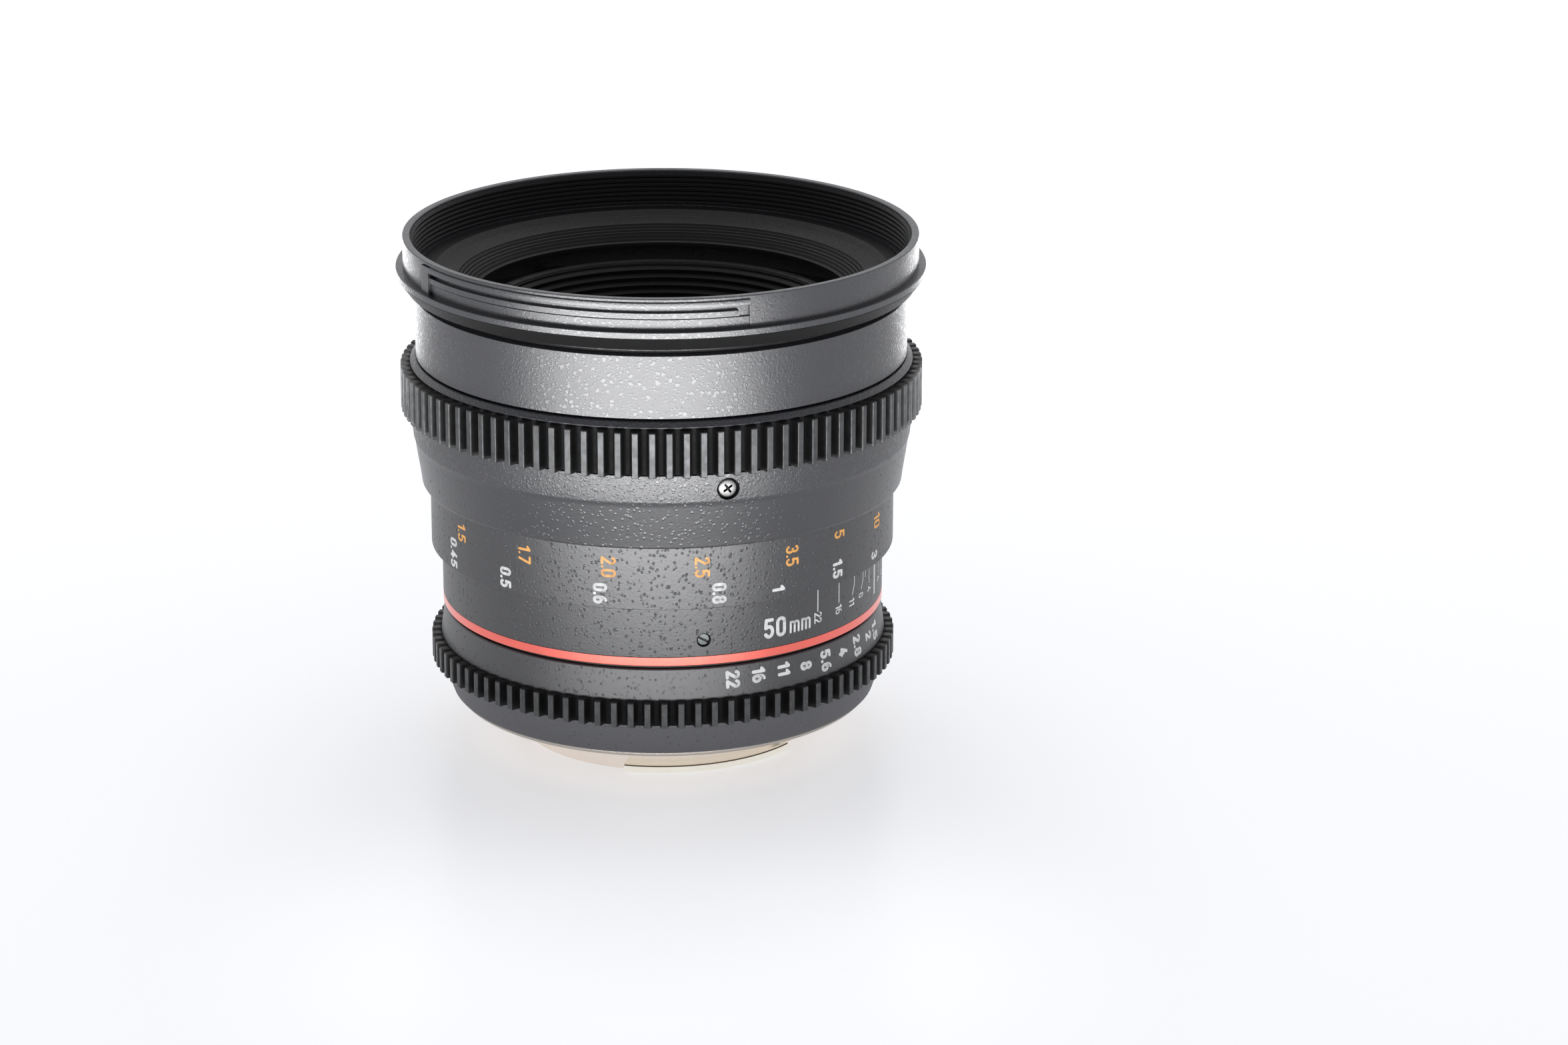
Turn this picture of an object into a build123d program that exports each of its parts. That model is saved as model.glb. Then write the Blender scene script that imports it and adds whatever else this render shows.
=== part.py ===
from build123d import *

# Manual-focus cine prime lens of about 50 mm focal length, with follow gears on both rings.
# Millimetres. The optical axis is +Z, towards the subject, and z = 0 is the rear end of the bayonet.
# Azimuths are in degrees from -Y, counter-clockwise seen from the front.

import os
from math import acos, cos, pi, radians, sin, sqrt, tan

os.makedirs("parts", exist_ok=True)

# Running and seating gaps
SLIDE_GAP = 0.06
END_GAP = 0.1

# Heights of the outer pieces, from the rear
FLANGE_Z = 6.15
FLANGE_TOP = 6.75
MOUNT_TOP = 8.6
SHIM_TOP = 8.8
REAR_BARREL_TOP = 12.0
APERTURE_RING_Z = (12.15, 21.0)
APERTURE_GEAR_Z = (12.15, 16.1)
RED_RING_Z = (21.5, 22.9)
NAME_BARREL_TOP = 38.4
FOCUS_RING_Z = (31.1, 61.2)
BAND_TOP = 41.1
FOCUS_GEAR_Z = (53.0, 60.0)
NECK_Z = (61.5, 72.4)
BULGE_Z = (74.6, 75.55)
FRONT_Z = 80.3

# Radii of the outer pieces
BOSS_R = 22.6
THROAT_R = 20.2
LUG_R = 24.2
FLANGE_R = 32.4
RING_BORE_R = 31.5
NAME_BARREL_R = 34.5
BAND_R = 36.15
NECK_R = 38.0
FRONT_R = 39.7
BULGE_R = 40.8
FILTER_R = 38.1

# Follow gears, both of module 0.8 with a 20 degree pressure angle
MODULE = 0.8
PRESSURE_ANGLE = radians(20)
FOCUS_TEETH = 99
APERTURE_TEETH = 89
FOCUS_TOOTH_AT = 1.55
APERTURE_TOOTH_AT = 0.2

# Focus drive: a cam sleeve turns round a guide tube and lifts three rollers by this much a turn
LEAD = 18.5
FOCUS_TURN = (-8.4, 134.2)
ROLLER_R = 1.25
ROLLER_SLOT = 2.7
ROLLER_Z = 46.0
ROLLER_AT = 40.0
GUIDE_R = (28.4, 30.4)
GUIDE_Z = (24.0, 64.0)
SLEEVE_R = (30.46, 32.3)
SLEEVE_Z = (42.0, 57.0)

# Iris: eight blades pivot on the plate in front, and pins behind run in the cam ring's slots
BLADES = 8
APERTURE_TURN = 54.5
BLADE_TURN = 32.7
STOP_R = 14.5
BLADE_INNER_R = 14.7
BLADE_OUTER_R = 22.6
BLADE_SPAN = 112.0
BLADE_THICKNESS = 0.1
BLADE_PITCH = 0.13
PIVOT_R = 24.0
DRIVE_R = 24.3
DRIVE_AT = 14.0
PIN_R = 0.55
PIN_GAP = 0.06
SHELF_Z = (35.0, 36.6)
CAM_RING_Z = (36.65, 37.75)
BLADE_Z = 37.85
PIVOT_PLATE_Z = (38.95, 40.15)
IRIS_BORE_R = 26.0
CELL_R = 26.4

# The lever that carries the aperture ring's turn to the iris, and the fork that it slides through
LEVER_AT = 200.0
LEVER_R = (24.25, 25.75)
LEVER_WIDTH = 3.0
LEVER_BOTTOM = 9.6
FORK_Z = (18.0, 20.4)
FORK_WIDTH = 6.4

# Screws
FOCUS_SCREW_AT = 14.6
FOCUS_SCREW_Z = 50.55
GRUB_AT = 10.2
GRUB_Z = 25.5
GRUB_R = 0.95
MOUNT_SCREW_R = 0.85
MOUNT_SCREW_PCD_R = 28.6
MOUNT_SCREW_AT = 25.0
FRONT_SCREW_PCD_R = 32.4


def finish(piece, label):
    """Label a finished piece and write it to its own file."""
    piece.part.label = label
    export_step(piece.part, f"parts/{label}.step")


def outward(azimuth):
    """Unit vector from the axis at an azimuth."""
    return Vector(sin(radians(azimuth)), -cos(radians(azimuth)), 0)


def radial_plane(azimuth, radius, z):
    """Plane that faces outward at an azimuth, radius and height."""
    way = outward(azimuth)
    return Plane(origin=way * radius + Vector(0, 0, z), x_dir=(0, 0, 1), z_dir=way)


def rear_plane(z):
    """Plane at a height that faces the camera side."""
    return Plane(origin=(0, 0, z), x_dir=(1, 0, 0), z_dir=(0, 0, -1))


def half_plane(azimuth):
    """Plane through the axis, in which x is the radius and y the height."""
    way = outward(azimuth)
    return Plane(origin=(0, 0, 0), x_dir=way, z_dir=way.cross(Vector(0, 0, 1)))


def turned(points, mode=Mode.ADD):
    """Turn a closed profile of (radius, height) points fully about the axis."""
    with BuildSketch(Plane.XZ) as section:
        with BuildLine():
            Polyline(*points, close=True)
        make_face()
    revolve(section.sketch, axis=Axis.Z, mode=mode)


def turned_arc(points, start, end, mode=Mode.ADD):
    """Turn a closed profile from one azimuth to another."""
    with BuildSketch(half_plane(start)) as section:
        with BuildLine():
            Polyline(*points, close=True)
        make_face()
    revolve(section.sketch, axis=Axis.Z, revolution_arc=end - start, mode=mode)


def block(r_in, r_out, z_low, z_high):
    """Rectangular profile between two radii and two heights."""
    return [(r_in, z_low), (r_out, z_low), (r_out, z_high), (r_in, z_high)]


def involute(angle):
    return tan(angle) - angle


def gear_outline(teeth, tooth_at):
    """Corners of a spur gear whose flanks run straight between the involute's ends."""
    pitch_r = MODULE * teeth / 2
    base_r = pitch_r * cos(PRESSURE_ANGLE)
    root_r = pitch_r - 1.25 * MODULE
    tip_r = pitch_r + MODULE
    corners = []
    for tooth in range(teeth):
        middle = radians(tooth_at - 90) + 2 * pi * tooth / teeth
        for radius, side in ((root_r, -1), (tip_r, -1), (tip_r, 1), (root_r, 1)):
            half = pi / (2 * teeth) + involute(PRESSURE_ANGLE) - involute(acos(base_r / radius))
            angle = middle + side * half
            corners.append((radius * cos(angle), radius * sin(angle)))
    return corners


def toothed_rim(teeth, tooth_at, bore_r, heights):
    """Spur gear rim between two heights, added to the piece being built."""
    with BuildSketch(Plane.XY.offset(heights[0])) as rim:
        with BuildLine():
            Polyline(*gear_outline(teeth, tooth_at), close=True)
        make_face()
        Circle(bore_r, mode=Mode.SUBTRACT)
    extrude(rim.sketch, amount=heights[1] - heights[0])


def sag(radius, curve_r):
    """Depth of a spherical surface at a distance from the axis."""
    return curve_r - sqrt(curve_r**2 - radius**2)


def surface_z(surface, radius):
    """Height of a lens surface, given as (vertex height, curvature radius), at a radius."""
    vertex, curve_r = surface
    way = 1 if curve_r > 0 else -1
    return vertex - way * sag(radius, abs(curve_r))


def lens_element(rim_r, front, rear, rear_rim_r):
    """Glass element. A curvature radius is positive where the surface bulges towards the front.
    The rear curve stops at rear_rim_r, and a flat rim runs on from there to rim_r."""
    with BuildSketch(Plane.XZ) as section:
        with BuildLine():
            top = ThreePointArc(*[(r, surface_z(front, r)) for r in (0, rim_r / 2, rim_r)])
            bottom = ThreePointArc(*[(r, surface_z(rear, r)) for r in (0, rear_rim_r / 2, rear_rim_r)])
            corners = [bottom @ 1, top @ 1]
            if rear_rim_r < rim_r:
                corners.insert(1, (rim_r, surface_z(rear, rear_rim_r)))
            Polyline(*corners)
            Line(top @ 0, bottom @ 0)
        make_face()
    revolve(section.sketch, axis=Axis.Z)


# Bayonet mount: flange, throat and three lugs, turned from one piece of brass
LUG_PROFILE = [(BOSS_R - 0.3, 0.2), (LUG_R, 0.2), (LUG_R, 1.4), (LUG_R - 0.15, 1.55), (BOSS_R - 0.3, 1.55)]
LUGS = ((-14.7, 53.6), (110.0, 168.0), (226.0, 286.0))
STOP_PIN_AT = 52.0
STOP_PIN_Z = 2.6
STOP_PIN_R = 0.6

with BuildPart() as bayonet_mount:
    turned(
        [
            (THROAT_R, 0.4),
            (THROAT_R + 0.4, 0),
            (BOSS_R - 0.3, 0),
            (BOSS_R, 0.3),
            (BOSS_R, FLANGE_Z),
            (FLANGE_R - 0.15, FLANGE_Z),
            (FLANGE_R, FLANGE_Z + 0.15),
            (FLANGE_R, FLANGE_TOP),
            (RING_BORE_R - 1.05, FLANGE_TOP),
            (RING_BORE_R - 1.05, MOUNT_TOP),
            (THROAT_R, MOUNT_TOP),
        ]
    )
    for lug_start, lug_end in LUGS:
        turned_arc(LUG_PROFILE, lug_start, lug_end)
    with Locations(rear_plane(FLANGE_Z)):
        with PolarLocations(MOUNT_SCREW_PCD_R, 4, start_angle=MOUNT_SCREW_AT):
            CounterSinkHole(MOUNT_SCREW_R, 2 * MOUNT_SCREW_R + 0.05, depth=MOUNT_TOP - FLANGE_Z)
    # Seat of the camera's locking pin, in the flange
    with BuildSketch(Plane.XY.offset(FLANGE_Z)) as lock_slot:
        with Locations(outward(-75) * 27.2):
            SlotOverall(4.4, 2.4, rotation=-75)
    extrude(amount=1.6, mode=Mode.SUBTRACT)
    with Locations(radial_plane(STOP_PIN_AT, BOSS_R, STOP_PIN_Z)):
        Hole(STOP_PIN_R, depth=1.4)
finish(bayonet_mount, "bayonet_mount")

with BuildPart() as bayonet_stop_pin:
    with Locations(radial_plane(STOP_PIN_AT, BOSS_R - 1.4, STOP_PIN_Z)):
        Cylinder(STOP_PIN_R, 2.7, align=(Align.CENTER, Align.CENTER, Align.MIN))
    chamfer(bayonet_stop_pin.faces().sort_by(Axis((0, 0, 0), outward(STOP_PIN_AT)))[-1].edges(), 0.12)
finish(bayonet_stop_pin, "bayonet_stop_pin")

with BuildPart() as mount_screws:
    with Locations(rear_plane(FLANGE_Z + 0.05)):
        with PolarLocations(MOUNT_SCREW_PCD_R, 4, start_angle=MOUNT_SCREW_AT):
            Cylinder(MOUNT_SCREW_R, 5.2, align=(Align.CENTER, Align.CENTER, Align.MAX))
            Cone(
                MOUNT_SCREW_R,
                2 * MOUNT_SCREW_R,
                MOUNT_SCREW_R,
                align=(Align.CENTER, Align.CENTER, Align.MAX),
            )
            for turn in (0, 90):
                Box(
                    2.0, 0.4, 0.6, rotation=(0, 0, turn),
                    align=(Align.CENTER, Align.CENTER, Align.MAX), mode=Mode.SUBTRACT,
                )
finish(mount_screws, "mount_screws")

# Shim that sets the flange distance
with BuildPart() as flange_shim:
    turned(block(27.0, RING_BORE_R - 1.1, MOUNT_TOP, SHIM_TOP))
    with Locations(rear_plane(MOUNT_TOP)):
        with PolarLocations(MOUNT_SCREW_PCD_R, 4, start_angle=MOUNT_SCREW_AT):
            Hole(MOUNT_SCREW_R + 0.15)
finish(flange_shim, "flange_shim")

# Black light trap inside the throat
REAR_BAFFLE_R = 17.9
with BuildPart() as rear_baffle:
    turned(
        [
            (REAR_BAFFLE_R, 1.2),
            (THROAT_R, 1.2),
            (THROAT_R, MOUNT_TOP),
            (REAR_BAFFLE_R + 0.6, MOUNT_TOP),
            (REAR_BAFFLE_R, MOUNT_TOP - 0.6),
        ]
    )
finish(rear_baffle, "rear_baffle")

# Fixed chassis: the tube that the mount, the outer rings and the guide tube are fastened to
CHASSIS_R = RING_BORE_R - SLIDE_GAP
CHASSIS_FLANGE_R = 33.8
SEAT_TOP = 28.0
WINDOW_MARGIN = 8.0
with BuildPart() as chassis_barrel:
    turned(
        [
            (27.0, SHIM_TOP),
            (CHASSIS_R, SHIM_TOP),
            (CHASSIS_R, RED_RING_Z[0] - 0.4),
            (CHASSIS_FLANGE_R, RED_RING_Z[0] - 0.4),
            (CHASSIS_FLANGE_R, RED_RING_Z[0]),
            (CHASSIS_R, RED_RING_Z[0]),
            (CHASSIS_R, SEAT_TOP),
            (GUIDE_R[1], SEAT_TOP),
            (GUIDE_R[1], GUIDE_Z[0]),
            (29.0, GUIDE_Z[0]),
            (29.0, 11.8),
            (27.0, 11.8),
        ]
    )
    # Window that the aperture fork sweeps through
    turned_arc(
        block(28.0, 33.0, FORK_Z[0] - 0.4, FORK_Z[1] + 0.3),
        LEVER_AT - WINDOW_MARGIN,
        LEVER_AT + APERTURE_TURN + WINDOW_MARGIN,
        mode=Mode.SUBTRACT,
    )
    with Locations(rear_plane(SHIM_TOP)):
        with PolarLocations(MOUNT_SCREW_PCD_R, 4, start_angle=MOUNT_SCREW_AT):
            Hole(MOUNT_SCREW_R, depth=2.7)
    for third in range(3):
        with Locations(radial_plane(GRUB_AT + 120 * third, CHASSIS_R, GRUB_Z)):
            Hole(GRUB_R, depth=0.5)
finish(chassis_barrel, "chassis_barrel")

# Rear barrel: the black cone that closes the body down to the flange
with BuildPart() as rear_barrel:
    with BuildSketch(Plane.XZ) as rear_section:
        with BuildLine():
            rear_side = Line((34.6, REAR_BARREL_TOP - 0.2), (33.5, 8.0))
            rear_curl = TangentArc(rear_side @ 1, (32.7, FLANGE_TOP), tangent=rear_side % 1)
            Polyline(
                rear_curl @ 1,
                (RING_BORE_R - 1.0, FLANGE_TOP),
                (RING_BORE_R - 1.0, SHIM_TOP),
                (RING_BORE_R, SHIM_TOP),
                (RING_BORE_R, REAR_BARREL_TOP),
                (34.4, REAR_BARREL_TOP),
                rear_side @ 0,
            )
        make_face()
    revolve(axis=Axis.Z)
finish(rear_barrel, "rear_barrel")

# Aperture ring with its follow gear
RING_TOP_R = 34.3
RING_FOOT_R = 34.9
FORK_SEAT_R = 33.0
with BuildPart() as aperture_ring:
    turned(
        [
            (RING_BORE_R, APERTURE_RING_Z[0]),
            (33.8, APERTURE_RING_Z[0]),
            (33.8, APERTURE_GEAR_Z[1]),
            (RING_FOOT_R, APERTURE_GEAR_Z[1]),
            (RING_FOOT_R, APERTURE_GEAR_Z[1] + 0.3),
            (RING_TOP_R, APERTURE_RING_Z[1] - 0.2),
            (RING_TOP_R - 0.2, APERTURE_RING_Z[1]),
            (RING_BORE_R, APERTURE_RING_Z[1]),
        ]
    )
    toothed_rim(APERTURE_TEETH, APERTURE_TOOTH_AT, 33.0, APERTURE_GEAR_Z)
    with Locations(radial_plane(LEVER_AT, FORK_SEAT_R, sum(FORK_Z) / 2)):
        Box(
            FORK_Z[1] - FORK_Z[0], FORK_WIDTH, 4.0,
            align=(Align.CENTER, Align.CENTER, Align.MAX), mode=Mode.SUBTRACT,
        )
finish(aperture_ring, "aperture_ring")

# Fork, let into the aperture ring, that turns the iris lever and lets it slide
with BuildPart() as aperture_fork:
    with Locations(radial_plane(LEVER_AT, FORK_SEAT_R, sum(FORK_Z) / 2)):
        Box(
            FORK_Z[1] - FORK_Z[0], FORK_WIDTH, FORK_SEAT_R - LEVER_R[0],
            align=(Align.CENTER, Align.CENTER, Align.MAX),
        )
    with Locations(radial_plane(LEVER_AT, LEVER_R[1] + 0.5, sum(FORK_Z) / 2)):
        Box(
            FORK_Z[1] - FORK_Z[0], LEVER_WIDTH + 0.2, 6.0,
            align=(Align.CENTER, Align.CENTER, Align.MAX), mode=Mode.SUBTRACT,
        )
finish(aperture_fork, "aperture_fork")

# Red ring between the aperture ring and the name barrel
with BuildPart() as red_ring:
    turned(
        [
            (CHASSIS_R, RED_RING_Z[0]),
            (NAME_BARREL_R - 0.15, RED_RING_Z[0]),
            (NAME_BARREL_R, RED_RING_Z[0] + 0.15),
            (NAME_BARREL_R, RED_RING_Z[1]),
            (CHASSIS_R, RED_RING_Z[1]),
        ]
    )
finish(red_ring, "red_ring")

# Name barrel: the fixed barrel with the focus index, which also carries the focus ring
with BuildPart() as name_barrel:
    turned(
        [
            (CHASSIS_R, RED_RING_Z[1]),
            (NAME_BARREL_R - 0.12, RED_RING_Z[1]),
            (NAME_BARREL_R, RED_RING_Z[1] + 0.12),
            (NAME_BARREL_R, NAME_BARREL_TOP),
            (CHASSIS_R, NAME_BARREL_TOP),
        ]
    )
    for third in range(3):
        with Locations(radial_plane(GRUB_AT + 120 * third, NAME_BARREL_R, GRUB_Z)):
            Hole(GRUB_R, depth=4)
finish(name_barrel, "name_barrel")

with BuildPart() as grub_screws:
    for third in range(3):
        with Locations(radial_plane(GRUB_AT + 120 * third, NAME_BARREL_R - 0.55, GRUB_Z)):
            Cylinder(GRUB_R, 2.95, align=(Align.CENTER, Align.CENTER, Align.MAX))
            Box(
                2 * GRUB_R + 0.2, 0.35, 0.6,
                align=(Align.CENTER, Align.CENTER, Align.MAX), mode=Mode.SUBTRACT,
            )
finish(grub_screws, "grub_screws")

# Guide tube: the fixed spine inside the focus ring, with a straight slot for each roller
RISE = tuple(LEAD * turn / 360 for turn in FOCUS_TURN)
GUIDE_FLANGE_R = 34.2
GUIDE_FLANGE_Z = GUIDE_Z[1] - 1.8
with BuildPart() as guide_tube:
    turned(
        [
            (GUIDE_R[0], GUIDE_Z[0]),
            (GUIDE_R[1], GUIDE_Z[0]),
            (GUIDE_R[1], GUIDE_FLANGE_Z),
            (GUIDE_FLANGE_R, GUIDE_FLANGE_Z),
            (GUIDE_FLANGE_R, GUIDE_Z[1]),
            (GUIDE_R[0], GUIDE_Z[1]),
        ]
    )
    for third in range(3):
        with BuildSketch(radial_plane(ROLLER_AT + 120 * third, 33, ROLLER_Z + sum(RISE) / 2)):
            SlotCenterToCenter(RISE[1] - RISE[0] + 0.4, ROLLER_SLOT)
        extrude(amount=-6, mode=Mode.SUBTRACT)
    with Locations((0, 0, GUIDE_Z[1])):
        with PolarLocations(FRONT_SCREW_PCD_R, 3):
            Hole(0.8)
finish(guide_tube, "guide_tube")

# Cam sleeve, fast in the focus ring: its helical slots lift the rollers as the ring turns
SLEEVE_FLANGE_Z = (44.5, 46.5)
SLEEVE_FLANGE_R = 33.9


def helical_slot(azimuth):
    """Cut the path of one roller, as the turning sleeve sees it."""
    reach = 0.4
    start = azimuth - FOCUS_TURN[0] + reach
    end = azimuth - FOCUS_TURN[1] - reach
    slope = LEAD / 360
    z_start = ROLLER_Z + slope * (azimuth - start)
    z_end = ROLLER_Z + slope * (azimuth - end)
    with BuildLine(Plane.XY.offset(z_start)) as path:
        Helix(pitch=LEAD, height=z_end - z_start, radius=SLEEVE_R[1], lefthand=True)
    with BuildSketch(Plane(origin=path.line @ 0, x_dir=(1, 0, 0), z_dir=path.line % 0)) as section:
        Rectangle(5.2, ROLLER_SLOT)
    groove = sweep(section.sketch, path=path.line, is_frenet=True, mode=Mode.PRIVATE)
    add(groove.rotate(Axis.Z, start - 90), mode=Mode.SUBTRACT)
    for end_at, end_z in ((start, z_start), (end, z_end)):
        with Locations(radial_plane(end_at, 35, end_z)):
            Hole(ROLLER_SLOT / 2, depth=6)


with BuildPart() as cam_sleeve:
    turned(
        [
            (SLEEVE_R[0], SLEEVE_Z[0]),
            (SLEEVE_R[1], SLEEVE_Z[0]),
            (SLEEVE_R[1], SLEEVE_FLANGE_Z[0]),
            (SLEEVE_FLANGE_R, SLEEVE_FLANGE_Z[0]),
            (SLEEVE_FLANGE_R, SLEEVE_FLANGE_Z[1]),
            (SLEEVE_R[1], SLEEVE_FLANGE_Z[1]),
            (SLEEVE_R[1], SLEEVE_Z[1]),
            (SLEEVE_R[0], SLEEVE_Z[1]),
        ]
    )
    for third in range(3):
        helical_slot(ROLLER_AT + 120 * third)
        with Locations(radial_plane(FOCUS_SCREW_AT + 120 * third, SLEEVE_R[1], FOCUS_SCREW_Z)):
            Hole(0.9, depth=3)
finish(cam_sleeve, "cam_sleeve")

# Focus ring: gear, tapered grip and scale band, in one piece
BAND_BORE_R = NAME_BARREL_R + SLIDE_GAP
SKIRT_R = 36.0
SKIRT_Z = 55.6
GRIP_BREAK_Z = 48.5
with BuildPart() as focus_ring:
    turned(
        [
            (BAND_BORE_R, FOCUS_RING_Z[0]),
            (BAND_R - 0.15, FOCUS_RING_Z[0]),
            (BAND_R, FOCUS_RING_Z[0] + 0.15),
            (BAND_R, BAND_TOP),
            (37.25, BAND_TOP),
            (37.4, BAND_TOP + 0.2),
            (38.4, GRIP_BREAK_Z - 0.6),
            (38.6, GRIP_BREAK_Z),
            (38.8, FOCUS_GEAR_Z[0] - 2.6),
            (38.95, FOCUS_GEAR_Z[0]),
            (37.5, FOCUS_GEAR_Z[0]),
            (37.5, FOCUS_GEAR_Z[1]),
            (38.9, FOCUS_GEAR_Z[1]),
            (38.9, FOCUS_GEAR_Z[1] + 0.3),
            (38.2, FOCUS_RING_Z[1]),
            (SKIRT_R + SLIDE_GAP, FOCUS_RING_Z[1]),
            (SKIRT_R + SLIDE_GAP, SKIRT_Z - 0.4),
            (SLEEVE_R[1] + 0.02, SKIRT_Z - 0.4),
            (SLEEVE_R[1] + 0.02, SLEEVE_FLANGE_Z[1]),
            (SLEEVE_FLANGE_R + 0.1, SLEEVE_FLANGE_Z[1]),
            (SLEEVE_FLANGE_R + 0.1, NAME_BARREL_TOP + 0.3),
            (BAND_BORE_R, NAME_BARREL_TOP + 0.3),
        ]
    )
    toothed_rim(FOCUS_TEETH, FOCUS_TOOTH_AT, 37.0, FOCUS_GEAR_Z)
    for third in range(3):
        with Locations(radial_plane(FOCUS_SCREW_AT + 120 * third, 39.5, FOCUS_SCREW_Z)):
            CounterBoreHole(0.95, 1.75, 2.1, depth=9)
finish(focus_ring, "focus_ring")

with BuildPart() as focus_ring_screws:
    for third in range(3):
        with Locations(radial_plane(FOCUS_SCREW_AT + 120 * third, 38.5, FOCUS_SCREW_Z)):
            Cylinder(1.6, 1.1, align=(Align.CENTER, Align.CENTER, Align.MAX))
            Cylinder(0.9, 7.6, align=(Align.CENTER, Align.CENTER, Align.MAX))
            for turn in (0, 90):
                Box(
                    1.7, 0.36, 0.7, rotation=(0, 0, turn),
                    align=(Align.CENTER, Align.CENTER, Align.MAX), mode=Mode.SUBTRACT,
                )
finish(focus_ring_screws, "focus_ring_screws")

# Slippery washers that take the focus ring's end thrust
with BuildPart() as rear_thrust_washer:
    turned(block(CHASSIS_R, NAME_BARREL_R - 0.1, NAME_BARREL_TOP, NAME_BARREL_TOP + 0.2))
finish(rear_thrust_washer, "rear_thrust_washer")

with BuildPart() as front_thrust_washer:
    turned(block(GUIDE_FLANGE_R + 0.1, SKIRT_R, SKIRT_Z - 0.25, SKIRT_Z))
finish(front_thrust_washer, "front_thrust_washer")

# Front barrel: the neck in front of the focus gear, on the guide tube's flange
SHELF_TOP = GUIDE_Z[1] + 1.6
with BuildPart() as front_barrel:
    turned(
        [
            (GUIDE_FLANGE_R + 0.1, SKIRT_Z),
            (SKIRT_R, SKIRT_Z),
            (SKIRT_R, NECK_Z[0]),
            (NECK_R - 0.1, NECK_Z[0]),
            (NECK_R, NECK_Z[0] + 0.1),
            (NECK_R, NECK_Z[1] - 1.3),
            (NECK_R - 0.7, NECK_Z[1] - 1.2),
            (NECK_R - 0.7, NECK_Z[1]),
            (SKIRT_R, NECK_Z[1]),
            (SKIRT_R, SHELF_TOP),
            (GUIDE_R[1] + 0.5, SHELF_TOP),
            (GUIDE_R[1] + 0.5, GUIDE_Z[1]),
            (GUIDE_FLANGE_R + 0.1, GUIDE_Z[1]),
        ]
    )
    with Locations((0, 0, SHELF_TOP)):
        with PolarLocations(FRONT_SCREW_PCD_R, 3):
            Hole(0.9)
finish(front_barrel, "front_barrel")

with BuildPart() as front_barrel_screws:
    with Locations((0, 0, SHELF_TOP)):
        with PolarLocations(FRONT_SCREW_PCD_R, 3):
            Cylinder(1.6, 1.0, align=(Align.CENTER, Align.CENTER, Align.MIN))
            Cylinder(0.8, 3.2, align=(Align.CENTER, Align.CENTER, Align.MAX))
finish(front_barrel_screws, "front_barrel_screws")

# Front ring: filter thread inside, hood bayonet and its stop flange outside
BAFFLE_SEAT_R = 37.2
BAFFLE_SEAT_Z = 73.5
BAFFLE_TOP = 74.65
THREAD_Z = (74.8, 79.4)
POCKET_FLOOR_R = 39.15
PAD_R = 40.05
PAD_TOP = 79.75
POCKET_TOP = 78.9
RAIL_Z = (77.3, 78.2)
PAD_SPAN = (-64.0, 19.0)
POST_END = -60.5
RAIL_END = 16.5
with BuildPart() as front_ring:
    turned(
        [
            (34.4, 69.6),
            (SKIRT_R - 0.05, 69.6),
            (SKIRT_R - 0.05, NECK_Z[1]),
            (39.2, NECK_Z[1]),
            (39.4, NECK_Z[1] + 0.2),
            (BULGE_R, BULGE_Z[0]),
            (BULGE_R, BULGE_Z[1] - 0.12),
            (BULGE_R - 0.12, BULGE_Z[1]),
            (FRONT_R, BULGE_Z[1]),
            (FRONT_R, FRONT_Z - 0.15),
            (FRONT_R - 0.15, FRONT_Z),
            (FILTER_R + 0.55, FRONT_Z),
            (FILTER_R, THREAD_Z[1]),
            (FILTER_R, THREAD_Z[0]),
            (BAFFLE_SEAT_R, THREAD_Z[0]),
            (BAFFLE_SEAT_R, BAFFLE_SEAT_Z),
            (34.4, BAFFLE_SEAT_Z),
        ]
    )
    for side in (0, 180):
        span = (PAD_SPAN[0] + side, PAD_SPAN[1] + side)
        turned_arc(block(FRONT_R - 0.2, PAD_R, BULGE_Z[1], PAD_TOP), *span)
        turned_arc(
            block(POCKET_FLOOR_R, PAD_R + 1, BULGE_Z[1], POCKET_TOP),
            POST_END + side,
            span[1],
            mode=Mode.SUBTRACT,
        )
        turned_arc(block(POCKET_FLOOR_R - 0.2, PAD_R - 0.1, *RAIL_Z), POST_END + side, RAIL_END + side)
finish(front_ring, "front_ring")

# Fixed baffle inside the front ring, stepped down to the opening that the inner barrel moves in
OPENING_R = 28.75
with BuildPart() as front_baffle:
    turned(
        [
            (BAFFLE_SEAT_R, BAFFLE_SEAT_Z),
            (BAFFLE_SEAT_R, BAFFLE_TOP),
            (34.9, BAFFLE_TOP),
            (33.7, 73.8),
            (31.4, 73.2),
            (29.0, 70.8),
            (OPENING_R, 70.8),
            (OPENING_R, 69.9),
            (30.0, 69.9),
            (32.4, 72.3),
            (34.4, 72.9),
            (34.4, BAFFLE_SEAT_Z),
        ]
    )
finish(front_baffle, "front_baffle")

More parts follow.
